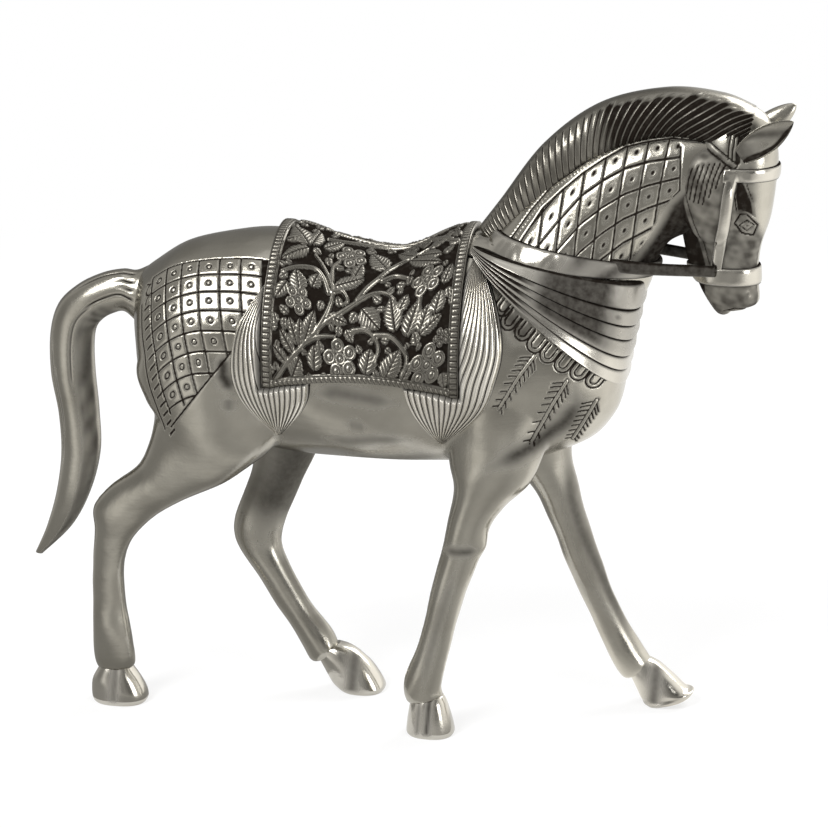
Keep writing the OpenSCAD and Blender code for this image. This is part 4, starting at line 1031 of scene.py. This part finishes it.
hooves = dict(  # rows from the sleeve to the sole: heel, toe, half width; streaks: x, depth, shade, width
    foreRight=dict(y=-24.0, node="fore_hoof_right", streaks=((14.6, 0.25, 0.5, 1.3), (18.6, 0.4, 0.7, 1.6)),
                   rows=[(11.8, 16.5, 23.6, 16, 5.4), (10.4, 13.4, 25, 13.4, 6.8), (9.6, 9, 26.4, 9, 7.8),
                         (9, 4.5, 27.6, 4.5, 8.6), (8.8, 1.2, 28.2, 1.2, 9), (9.4, 0, 27.8, 0, 8.5)]),
    foreLeft=dict(y=24.0, node="fore_hoof_left", streaks=((104.5, 0.3, 0.6, 3.2),), rows=[
        (92.5, 14, 101.5, 19.5, 5.4), (94.6, 10, 106, 17.2, 6.8), (96.6, 6, 112, 12.2, 7.8),
        (98, 3, 117, 7.6, 8.4), (98.8, 1.6, 120.2, 6.4, 8.2), (99.6, 0.4, 117.4, 3, 8.6),
        (101, 0, 109, 0.2, 7.4)]),
    hindRight=dict(y=-15.0, node="hind_hoof_right", streaks=((-114.8, 0.5, 0.55, 2.2),), rows=[
        (-122, 16, -110.5, 16.5, 5.6), (-124, 12.8, -108.3, 13.4, 7), (-125.8, 9, -105.6, 9.4, 8),
        (-126.2, 4.5, -103.4, 5, 8.8), (-125.8, 1.2, -102.8, 1.6, 9), (-125, 0, -103.6, 0, 8.5)]),
    hindLeft=dict(y=15.0, node="hind_hoof_left", streaks=((-20.5, 0.3, 0.6, 3.4),), rows=[
        (-37, 14.5, -27.5, 20, 5.4), (-34.8, 10.5, -22, 18.2, 6.8), (-32.6, 6.5, -15.5, 13.2, 7.8),
        (-30.5, 3, -11, 7.4, 8.6), (-28, 0.9, -8.2, 2.2, 9), (-26.5, 0, -9, 0, 8.4)]))
streakForm = dict(lean=0.06, level=7, sole=(0.5, 3), least=3)


def makeHoof(name, h, f):
    piece = makeMesh(name, *loft([(*row, h["y"]) for row in h["rows"]], steps=72, sides=72, power=2.4))
    turnOut(piece)
    x, y, z = points(piece).T
    depth, shade = np.zeros(len(x)), np.zeros(len(x))
    for at, deep, dark, wide in h["streaks"]:  # sunk grooves down the wall, darkened as painted dark reflections
        line = bell(x - at - f["lean"] * (z - f["level"]), wide) * smoothStep(*f["sole"], z)
        line = line * (np.abs(y - h["y"]) > f["least"])
        depth, shade = depth + deep * line, np.maximum(shade, dark * line)
    chase(piece, depth, shade)
    return finishPiece(piece, brightSilver, [h["node"]])


bodyCasting = makeBody(bodyForm)
neckCasting = makeNeck(neckNet)
headCasting = makeHead(headForm)
makeMane(maneCut)
for name, ear in ears.items():
    makeEar("ear" + name.capitalize(), ear, earForm)
makeTail(tailCut)
for name, hoof in hooves.items():
    makeHoof(name + "Hoof", hoof, streakForm)


def treeOf(*pieces):
    verts, faces = [], []
    for p in pieces:
        base = len(verts)
        verts += [tuple(v) for v in points(p)]
        faces += [tuple(i + base for i in f.vertices) for f in p.data.polygons]
    return BVHTree.FromPolygons(verts, faces)


def slab(name, top, under, closedRound=False, stride=1):
    # a sheet with a top of m by n points; its underside keeps every stride-th point, joined by a rim
    m, n = top.shape[:2]
    low = under[::stride, ::(1 if closedRound else stride)]
    mu, nu = low.shape[:2]
    base = m * n
    co = np.vstack([top.reshape(-1, 3), low.reshape(-1, 3)])
    faces = gridFaces(m, n, closedRound)
    faces += [tuple(base + i for i in f[::-1]) for f in gridFaces(mu, nu, closedRound)]
    if not closedRound:
        for j, ju in ((0, 0), (n - 1, nu - 1)):
            for i in range(mu - 1):
                fine = [(i * stride + k) * n + j for k in range(stride + 1)]
                faces.append(tuple(fine + [base + (i + 1) * nu + ju, base + i * nu + ju]))
    for i, iu in ((0, 0), (m - 1, mu - 1)):
        for j in range(nu if closedRound else nu - 1):
            k = (j + 1) % nu
            fine = [i * n + j, i * n + k]
            if not closedRound:
                fine = [i * n + j * stride + t for t in range(stride + 1)]
            faces.append(tuple(fine + [base + iu * nu + k, base + iu * nu + j]))
    piece = makeMesh(name, co, faces)
    turnOut(piece)
    return piece, mu * nu


def markSlab(piece, shade, rest, under):  # the top's shade, then one tone of painted shade for the underside and rims
    mark(piece, np.concatenate([shade.ravel(), np.full(rest, under)]))


# saddle cloth: bordered panel with a flowering vine in relief

cloth = dict(rear=-42.0, front=28.0, border=3.6, hem=146.0, rise=4.5, round=0.7, lift=2.2, flare=2.6,
             flareMiddle=-7, flareHalf=36, rope=2.4, twist=1.9, twistLean=0.6, rung=1.9, rungHalf=0.72,
             rail=0.8, borderRise=1.3, columns=233, rows=401, stride=4, thick=1.6, sunk=-0.6, freeFrom=0.9)
leafForm = dict(half=0.78, veins=1.5, slant=0.7, vein=0.45, midrib=0.5, edge=0.5, cut=0.34)
flowerForm = dict(petals=5, reach=0.6, petal=0.38, boss=0.3, ring=0.5, cut=0.35, turn=0.6, nextTurn=0.5)
vine = dict(  # x and the way round from the spine, in mm
    relief=1.5, stem=1.05,
    stems=[((-40, 69), (-34.7, 61.2), (-29.7, 54.9), (-24.4, 47.9), (-20.4, 43.3)),
           ((-24.4, 47.9), (-21, 41), (-19.4, 34.9), (-20, 29.5), (-24.5, 22.7), (-28.6, 18.5)),
           ((-20.4, 43.3), (-15, 38.8), (-9.5, 33.9), (-3.9, 29.7), (1.1, 29.2), (5, 32)),
           ((-9.6, 33.3), (-6.7, 27.9), (-2.9, 23), (1, 18), (6.2, 14.2), (11, 13), (19, 11.5)),
           ((-1, 23.7), (4, 21.7), (9, 24.3)), ((-20.5, 28), (-20.9, 21.8), (-18.8, 18)),
           ((-28.6, 53), (-23, 49.2), (-17, 47.8)),
           ((-10, 44.5), (-5.3, 43.6), (-1, 46.4), (0.2, 51), (-2, 56)),
           ((-1, 45), (4.3, 45.5), (9, 50.2), (11.6, 55.3), (10, 61)),
           ((-19.8, 32.3), (-16, 30.9), (-13.2, 34), (-15, 36.2)),
           ((-21, 32.7), (-23.8, 27.4), (-27.5, 25), (-33.4, 26.6), (-40, 30.4)),
           ((15, 35.7), (14.8, 41.4), (11.8, 47.2)), ((24, 12), (14, 4), (0, 2), (-14, 3), (-26, 6))],
    flowers=[(-14, 54.8, 7.2), (19.6, 60, 7.4), (-15, 14.2, 6.6), (17.3, 29.4, 6.6), (-32, 39.4, 5.6),
             (25, 52.5, 3.6), (8, 6.5, 4.6)],
    leaves=[  # stalk, tip, width
        (-31.7, 15, -40, 5, 7), (-31.5, 16.5, -41, 25.5, 4.4), (-30.6, 14, -29.5, 3, 4.6),
        (-26, 14, -19.5, 5.5, 4), (0, 18.4, -8, 9.8, 6), (11, 14, 2.5, 8.6, 4.2), (11.2, 14.4, 22, 20, 4),
        (15.6, 13.6, 24.5, 6, 4), (8.3, 15.4, 22.6, 24.4, 3.6), (6.7, 44.5, 3.4, 31, 5.4),
        (7.2, 38, 10.2, 31.6, 4), (11.2, 47.6, 15, 35.7, 5.8), (16.2, 48.4, 19.4, 39, 4.8),
        (16.2, 49, 24.8, 44.6, 4), (-3.9, 58.6, -2.6, 49.6, 5.4), (3.4, 60.4, 8.6, 51, 6.4),
        (10, 62, 14, 56.5, 3.4), (-31, 55, -35, 46, 3.2), (-30.4, 54.5, -30.8, 45, 3.2),
        (-28.6, 53.5, -25.4, 40.6, 4.2), (-32.7, 58, -38.4, 51, 3.6), (-35, 62, -41, 57, 3.2),
        (-31.9, 36, -34.5, 28.4, 5.4), (-27.4, 33, -25.8, 26.8, 4), (21.8, 44, 23.6, 35.6, 4.6),
        (-18.9, 30, -7.6, 23.6, 4.2), (-7.4, 36.2, 0.4, 43, 6.4), (-33, 66, -30, 58, 4.6),
        (-24, 61, -24.6, 52.4, 4.6), (-37, 34, -41, 41, 4), (-12, 25, -10, 17, 4), (-36, 12, -41, 16, 3.4),
        (-20, 41, -12, 42.5, 3.6), (24, 34, 26.6, 26, 3.4)],
    filler=700, fillerSize=4.8, fillerWidth=0.55, fillerRise=0.85, fillerBox=(-41, 27, 1, 68), fillerSeed=7)


def hemLine(x, c=cloth):  # height of the hem, arched in its middle
    mid, span = (c["rear"] + c["front"]) / 2, c["front"] - c["rear"]
    return c["hem"] + c["rise"] * np.maximum(0, np.cos(math.pi * (x - mid) / span)) ** c["round"]


def hemArc(x):  # way round the barrel to the hem
    middle, h, w = barrelOval(x)
    return np.arccos(np.clip((hemLine(x) - middle) / h, -1, 1)) * (w + h) / 2


def leafHeight(x, a, x0, a0, x1, a1, wide, f=leafForm):  # veined leaf from its stalk to its tip
    length = math.hypot(x1 - x0, a1 - a0)
    ux, ua = (x1 - x0) / length, (a1 - a0) / length
    along = ((x - x0) * ux + (a - a0) * ua) / length
    beside = (x - x0) * -ua + (a - a0) * ux
    veins = (along * length - f["slant"] * np.abs(beside)) / f["veins"]
    half = f["half"] * wide * np.sin(math.pi * np.clip(along, 0, 1) ** 0.8) ** 0.75 + 1e-6
    half = half * (0.92 + 0.1 * np.cos(2 * math.pi * veins))  # toothed edge
    inside = (along > 0) & (along < 1) & (np.abs(beside) < half)
    sideVeins = 0.75 * stroke(fromRound(veins) * f["veins"], f["vein"]) * (np.abs(beside) > 0.3)
    edge = 0.85 * stroke(half - np.abs(beside), f["edge"])
    groove = np.maximum.reduce([stroke(beside, f["midrib"]), sideVeins, edge])
    swell = 0.7 + 0.3 * (1 - (beside / half) ** 2)
    return np.where(inside, swell - f["cut"] * groove, 0), np.where(inside, groove, 0)


def flowerHeight(x, a, cx, ca, size, turn, f=flowerForm):  # round petals about a boss, each with a ring
    height, groove = np.zeros(len(x)), np.zeros(len(x))
    reach, spots = f["reach"] * size, [(cx, ca, f["boss"] * size)]
    for k in range(f["petals"]):
        t = turn + 2 * math.pi * k / f["petals"]
        spots.append((cx + reach * math.cos(t), ca + reach * math.sin(t), f["petal"] * size))
    for sx, sa, r in spots[::-1]:
        d = np.hypot(x - sx, a - sa)
        ring = stroke(d - f["ring"] * r, 0.5)
        inside = d < r
        height = np.where(inside, 0.75 + 0.35 * (1 - (d / r) ** 2) - f["cut"] * ring, height)
        groove = np.where(inside, np.maximum(0.8 * ring, stroke(d - r, 0.4)), groove)
    return height, groove


def clothRelief(x, a, v):  # height and grooves of the vine, and the ground between
    height, groove = np.zeros(len(x)), np.zeros(len(x))
    rng = np.random.default_rng(v["fillerSeed"])

    def lay(h, g):  # the higher form covers what is under it
        over = h > height
        height[over] = h[over]
        groove[over] = g[over]

    for stem in v["stems"]:
        d, along = lineDist(x, a, rowAt(stem, np.linspace(0, 1, 24)))
        wide = v["stem"] * (1.15 - 0.5 * along)
        lay(np.sqrt(np.clip(1 - (d / wide) ** 2, 0, 1)) * 0.95, 0.6 * stroke(d, 0.35))
    for leaf in v["leaves"]:
        lay(*leafHeight(x, a, *leaf))
    for k, flower in enumerate(v["flowers"]):
        lay(*flowerHeight(x, a, *flower, flowerForm["turn"] + flowerForm["nextTurn"] * k))
    x0, x1, a0, a1 = v["fillerBox"]
    for _ in range(v["filler"]):  # small leaves in the free ground
        fx, fa, turn = rng.uniform(x0, x1), rng.uniform(a0, a1), rng.uniform(0, 2 * math.pi)
        size = v["fillerSize"] * rng.uniform(0.6, 1.2)
        dx, da = size * math.cos(turn), size * math.sin(turn)
        near = np.hypot(x - fx - dx / 2, a - fa - da / 2) < 0.42 * size
        if near.any() and height[near].mean() < 0.1:
            leaf = leafHeight(x, a, fx, fa, fx + dx, fa + da, v["fillerWidth"] * size)
            lay(*(v["fillerRise"] * part for part in leaf))
    return height, groove, 1 - smoothStep(0.05, 0.5, height)


def makeCloth(c, v):
    x = np.linspace(c["rear"] - c["border"], c["front"] + c["border"], c["columns"])
    t = np.linspace(-1, 1, c["rows"])
    grid = (len(x), len(t), 3)
    xx, tt, hem = np.repeat(x, len(t)), np.tile(t, len(x)), np.repeat(hemArc(x), len(t))
    arc, toHem = hem * tt, hem * (1 - np.abs(tt))
    mid = np.clip(1 - ((xx - c["flareMiddle"]) / c["flareHalf"]) ** 2, 0, 1)
    lift = c["lift"] + c["flare"] * mid * smoothStep(0.8, 1.0, np.abs(tt))
    height, groove, ground = clothRelief(xx, np.abs(arc), v)
    toSide = np.minimum(xx - c["rear"], c["front"] - xx)  # below 0 on the borders
    panel = smoothStep(0.1, 0.7, toSide) * smoothStep(c["rope"], c["rope"] + 0.6, toHem)
    relief = v["relief"] * height * panel
    shade = np.maximum(0.92 * ground, 0.95 * groove) * panel
    border = 1 - smoothStep(-0.3, 0.2, toSide)  # a ladder between two rails
    middle = np.abs(toSide + c["border"] / 2) / (c["border"] / 2)
    rungs = stroke(fromRound(arc / c["rung"]) * c["rung"], 0.5) * (middle < c["rungHalf"])
    rails = stroke((middle - c["rail"]) * c["border"] / 2, 0.4)
    relief += border * (c["borderRise"] - 0.55 * rungs - 0.4 * rails)
    shade = np.maximum(shade, border * np.maximum(0.9 * rungs, 0.8 * rails))
    rope = (1 - smoothStep(c["rope"] - 0.3, c["rope"] + 0.2, toHem)) * (1 - border)  # along the hem
    twist = np.abs(np.sin(math.pi * (xx + c["twistLean"] * toHem) / c["twist"]))
    crown = np.sqrt(np.clip(1 - (2 * toHem / c["rope"] - 1) ** 2, 0, 1))
    relief += rope * (0.5 + 0.9 * crown * (0.6 + 0.4 * twist))
    shade = np.maximum(shade, rope * np.maximum(0.9 * (1 - twist) ** 2, stroke(toHem - c["rope"], 0.6)))
    top = wrapPoint(xx, arc, lift + relief).reshape(grid)
    low = np.where(np.abs(tt) > c["freeFrom"], lift - c["thick"], c["sunk"])
    piece, rest = slab("saddleCloth", top, wrapPoint(xx, arc, low).reshape(grid), False, c["stride"])
    markSlab(piece, shade, rest, under=0.85)
    return finishPiece(piece, agedSilver, ["saddle_cloth", "rear_binding", "front_binding"])


# skirts: ribs that swell out beside and below the cloth and gather to a point

skirts = dict(ribs=14, swell=5.5, rise=1.3, rows=109, columns=201, stride=4, covered=0.12, lift=0.4, sunk=2.0,
              # height, then the skirt's rear and front there
              rear=[(186.5, -45.1, -43.1), (169.3, -55.6, -36.6), (154.3, -58.6, -28.6),
                    (143.5, -57.1, -27.4), (134.5, -52.1, -31.4), (123.8, -42.4, -40.4)],
              front=[(197.5, 34.6, 36.6), (181.7, 27.6, 44.6), (165.4, 17.6, 48.1), (151.6, 10.0, 45.6),
                     (138.6, 12.6, 40.1), (123.8, 22.6, 24.6)])


def makeSkirt(name, end, side, node, k):
    m, n = k["rows"], k["columns"]
    z, rear, front = rowAt(k[end], np.linspace(0, 1, m)).T[:, :, None]
    s = np.linspace(0, 1, n)[None, :]
    z = np.repeat(z, n, 1)
    x = rear + (front - rear) * s
    top, low, w = barrel(x)
    c = np.clip((2 * z - top - low) / (top - low), -1, 1)
    y = w * np.sqrt(1 - c * c)
    belly = np.sqrt(np.maximum(0, 1 - (2 * s - 1) ** 2))
    belly = belly * np.sqrt(np.sin(math.pi * np.linspace(0.04, 0.97, m)))[:, None]
    edge = cloth["rear"] - cloth["border"] - x if end == "rear" else x - cloth["front"] - cloth["border"]
    past = np.maximum(edge, hemLine(x) - z)
    free = k["covered"] + (1 - k["covered"]) * smoothStep(-0.6, 2.0, past)  # flat under the cloth
    rib = np.abs(np.sin(math.pi * (s * k["ribs"]))) ** 0.8
    fall = smoothStep(0.0, 0.12, np.linspace(0, 1, m))[:, None]
    lift = (k["swell"] * belly + k["rise"] * rib * fall) * free + k["lift"]
    outer = np.stack([x, side * (y + lift), z], -1)
    inner = np.stack([x, side * (y - k["sunk"]), z], -1)
    piece, rest = slab(name, outer, inner, False, k["stride"])
    shade = np.clip(1.3 * (1 - rib) ** 2.3, 0, 1) * np.ones_like(x)
    # painted shade in a strip along the cloth's edge
    markSlab(piece, np.maximum(shade, 0.75 * (1 - smoothStep(0.0, 3.0, past))), rest, under=0.6)
    return finishPiece(piece, paintedHighlightSilver, [node])


# breast drape: pleats that fan from the withers round the chest

drape = dict(x=31.6, z=200.0, top=10.0, low=41.0, frontTop=97.5, frontLow=90.5, half=24.5, widen=9.5,
             fullness=0.65, start=22.0, steps=261, stride=4, thick=1.3, sunk=-3.0, rise=1.9,
             folds=(0, 0.3, 0.47, 0.61, 0.77, 0.885, 1.0), lines=28, lips=(0.07, 0.035), grooves=(0.17, 0.06),
             pleatShade=0.85, paintedShade=0.71, spots=((0.86, 0.45), (0.9, 1.5), (0.84, 3.4)), spot=0.55)


def fanPoint(f, w, by, d=drape):  # f across the pleats, w round the chest in degrees
    pitch = np.radians(d["top"] + (d["low"] - d["top"]) * f)
    reach = (d["frontTop"] + (d["frontLow"] - d["frontTop"]) * f - d["x"]) / np.cos(pitch)
    half = d["half"] + d["widen"] * f
    a = np.radians(w)
    r = reach / 2 * (1 - np.cos(a)) - by * np.cos(a)
    side = np.sign(np.sin(a)) * np.abs(np.sin(a)) ** d["fullness"]
    return np.stack([d["x"] + r * np.cos(pitch), -(half + by) * side, d["z"] - r * np.sin(pitch)], -1)


def makeDrape(d):
    pleats = len(d["folds"]) - 1
    w = np.linspace(d["start"], 360 - d["start"], d["steps"])
    ww, pp = np.meshgrid(w, np.linspace(0, pleats, d["lines"] * pleats + 1), indexing="ij")
    ff = np.interp(pp, np.arange(pleats + 1), d["folds"])
    q = pp - np.minimum(np.floor(pp), pleats - 1)  # across one pleat
    lip = (1 - np.exp(-q / d["lips"][0])) * (1 - np.exp(-(1 - q) / d["lips"][1]))
    fold = lip * (0.45 + 0.55 * q ** 1.3)  # each pleat rises to the lip over the next
    opening = np.sqrt(np.sin(math.pi * (ww - d["start"]) / (360 - 2 * d["start"])).clip(0, 1))
    outer = fanPoint(ff, ww, d["thick"] + d["rise"] * fold * opening)
    piece, rest = slab("breastDrape", outer, fanPoint(ff, ww, d["sunk"]), False, d["stride"])
    ahead = (1 - np.cos(np.radians(ww))) / 2  # 0 at the withers, 1 at the front of the chest
    lines = np.maximum(bell(q, d["grooves"][0]), bell(1 - q, d["grooves"][1]))
    # painted shade under each pleat's lip, on the side near the withers
    pleatShade = (1 - smoothStep(0.42, 0.86, q)) * (1 - smoothStep(0.3, 0.62, ahead)) * smoothStep(0.4, 1.2, pp)
    # painted shade over the pleats on the side of the chest, less at the front and on the lowest pleats
    front = smoothStep(0.34, 0.52, ahead) * (1 - 0.62 * smoothStep(0.8, 0.95, ahead))
    shades = [lines, d["pleatShade"] * pleatShade, d["paintedShade"] * front * (1 - 0.85 * smoothStep(3.4, 4.6, pp))]
    for at, row in d["spots"]:  # brown spots on the front folds
        shades.append(d["spot"] * bell(ahead - at, 0.035) * bell(pp - row, 0.3))
    markSlab(piece, np.maximum.reduce(shades), rest, under=0.6)
    return finishPiece(piece, brightSilver, ["breast_drape"])


# straps that lie tight on the forms: collar, noseband, browband and cheek straps

bands = dict(  # tilt lowers the front of the band's plane; sweep is in degrees, 0 at the front
    collarBand=dict(centre=(64, 0, 197.2), tilt=7.5, width=5.4, widen=0.028, lift=2.2, sweep=(-172, 172),
                    count=240, paintedShade=0.68, node="collar_band"),
    noseband=dict(centre=(130, 0, 190.8), tilt=0.0, width=7.0, widen=0.0, lift=1.3, sweep=(0, 360), count=140,
                  paintedShade=0.0, node="noseband"),
    browband=dict(centre=(131, 0, 231.3), tilt=0.0, width=5.2, widen=0.0, lift=1.2, sweep=(-100, 100),
                  count=110, paintedShade=0.0, node="browband"))
bandForm = dict(reach=70.0, past=1.2, miss=0.9, sunk=0.6, rounds=4, shade=0.75, paintedShadeTo=(60, 95))
strapForm = dict(path=[(132.2, 233.5), (130.5, 224.7), (129.2, 212.4), (127.7, 204.3), (126.2, 194.0)],
                 count=60, width=4.6, lift=1.1, sunk=0.8, rounds=3, shade=0.8, start=60, reach=80)
strapLines = np.linspace(-0.5, 0.5, 11)  # points across a strap
strapRound, strapRim, strapUnder = 0.35, 0.07, 0.8


def crownOf(o):  # a strap is lower at its edges
    return 1 - (abs(o) / 0.5) ** 4 * strapRound


def rimShade(o):  # dark along a strap's edges
    return bell(np.abs(o) - 0.5, strapRim)


def softenRound(grid, rounds, closed):
    for _ in range(rounds):
        if closed:
            grid = 0.5 * grid + 0.25 * (np.roll(grid, 1, 0) + np.roll(grid, -1, 0))
        else:
            g = grid.copy()
            g[1:-1] = 0.5 * grid[1:-1] + 0.25 * (grid[:-2] + grid[2:])
            grid = g
    return grid


def makeBand(name, tree, b, f):
    t, count = math.radians(b["tilt"]), b["count"]
    ahead = np.array([math.cos(t), 0, -math.sin(t)])
    up = np.array([math.sin(t), 0, math.cos(t)])
    full = b["sweep"][1] - b["sweep"][0] == 360
    degrees = np.linspace(*b["sweep"], count, endpoint=not full)
    outer = np.zeros((count, len(strapLines), 3))
    inner = np.zeros_like(outer)
    for i, a in enumerate(np.radians(degrees)):
        out = ahead * math.cos(a) + np.array([0, math.sin(a), 0])
        wide = b["width"] + b["widen"] * abs(degrees[i])
        for j, o in enumerate(strapLines):
            start = np.asarray(b["centre"]) + up * o * wide + out * f["reach"]
            hit = tree.ray_cast(Vector(start), Vector(-out), f["reach"] * f["past"])[0]
            if hit is None:
                hit = Vector(start - out * f["reach"] * f["miss"])
            outer[i, j] = np.array(hit) + out * b["lift"] * crownOf(o)
            inner[i, j] = np.array(hit) - out * f["sunk"]
    sheets = [np.swapaxes(softenRound(g, f["rounds"], full), 0, 1) for g in (outer, inner)]
    piece, rest = slab(name, *sheets, full)
    o, turn = np.repeat(strapLines, count), np.abs(np.tile(degrees, len(strapLines)))
    patch = 0.75 + 0.25 * np.sin(0.2 * turn + 3 * o)
    # painted shade on the front part of the band, mottled, fading towards its sides
    tone = b["paintedShade"] * (1 - smoothStep(*f["paintedShadeTo"], turn)) * patch
    markSlab(piece, np.maximum(f["shade"] * rimShade(o), tone), rest, strapUnder)
    return finishPiece(piece, brightSilver, [b["node"]])


def makeStrap(name, tree, side, node, f):  # a flat strap laid on the side of the head
    line = rowAt(f["path"], np.linspace(0, 1, f["count"]))
    along = np.gradient(line, axis=0)
    along /= np.linalg.norm(along, axis=1)[:, None]
    beside = np.stack([-along[:, 1], along[:, 0]], -1)
    outer = np.zeros((len(line), len(strapLines), 3))
    inner = np.zeros_like(outer)
    for i in range(len(line)):
        for j, o in enumerate(strapLines):
            x, z = line[i] + beside[i] * o * f["width"]
            hit = tree.ray_cast(Vector((x, side * f["start"], z)), Vector((0, -side, 0)), f["reach"])[0]
            y = hit.y if hit else outer[i - 1, j, 1]
            outer[i, j] = (x, y + side * f["lift"] * crownOf(o), z)
            inner[i, j] = (x, y - side * f["sunk"], z)
    piece, rest = slab(name, *(softenRound(g, f["rounds"], False) for g in (outer, inner)))
    markSlab(piece, f["shade"] * rimShade(np.tile(strapLines, len(line))), rest, strapUnder)
    return finishPiece(piece, brightSilver, [node])


# reins: flat bars from the collar to the noseband

reinRows = [(76, 199.4, 194.6, 1.5, 16), (84, 198.6, 193.6, 1.5, 17.4), (91, 198, 193, 1.5, 18.4),
            (98, 197.4, 192.5, 1.5, 18), (107, 196.6, 192, 1.4, 15.8), (116, 196, 191.5, 1.4, 13.2),
            (126, 195.3, 191, 1.3, 10.6)]  # x, top, bottom, half thickness, y


def makeRein(name, side, node):
    rows = [(x, top, x, low, half, side * y) for x, top, low, half, y in reinRows]
    piece = makeMesh(name, *loft(rows, steps=60, sides=28, power=2.8))
    turnOut(piece)
    # painted shade: darker on top, lighter along the lower edge, by which way each face looks
    mark(piece, 0.72 + 0.25 * normals(piece)[:, 2] ** 3)
    return finishPiece(piece, brightSilver, [node])


sides = (("right", -1), ("left", 1))
makeCloth(cloth, vine)
for side, sign in sides:
    for end in ("rear", "front"):
        makeSkirt(end + "Skirt" + side.capitalize(), end, sign, end + "_skirt_" + side, skirts)
makeDrape(drape)
chestTree, headTree = treeOf(neckCasting, bodyCasting), treeOf(headCasting)
for name, tree in (("collarBand", chestTree), ("noseband", headTree), ("browband", headTree)):
    makeBand(name, tree, bands[name], bandForm)
for side, sign in sides:
    makeStrap("cheekStrap" + side.capitalize(), headTree, sign, "cheek_strap_" + side, strapForm)
    makeRein("rein" + side.capitalize(), sign, "rein_" + side)
print("pieces: done")
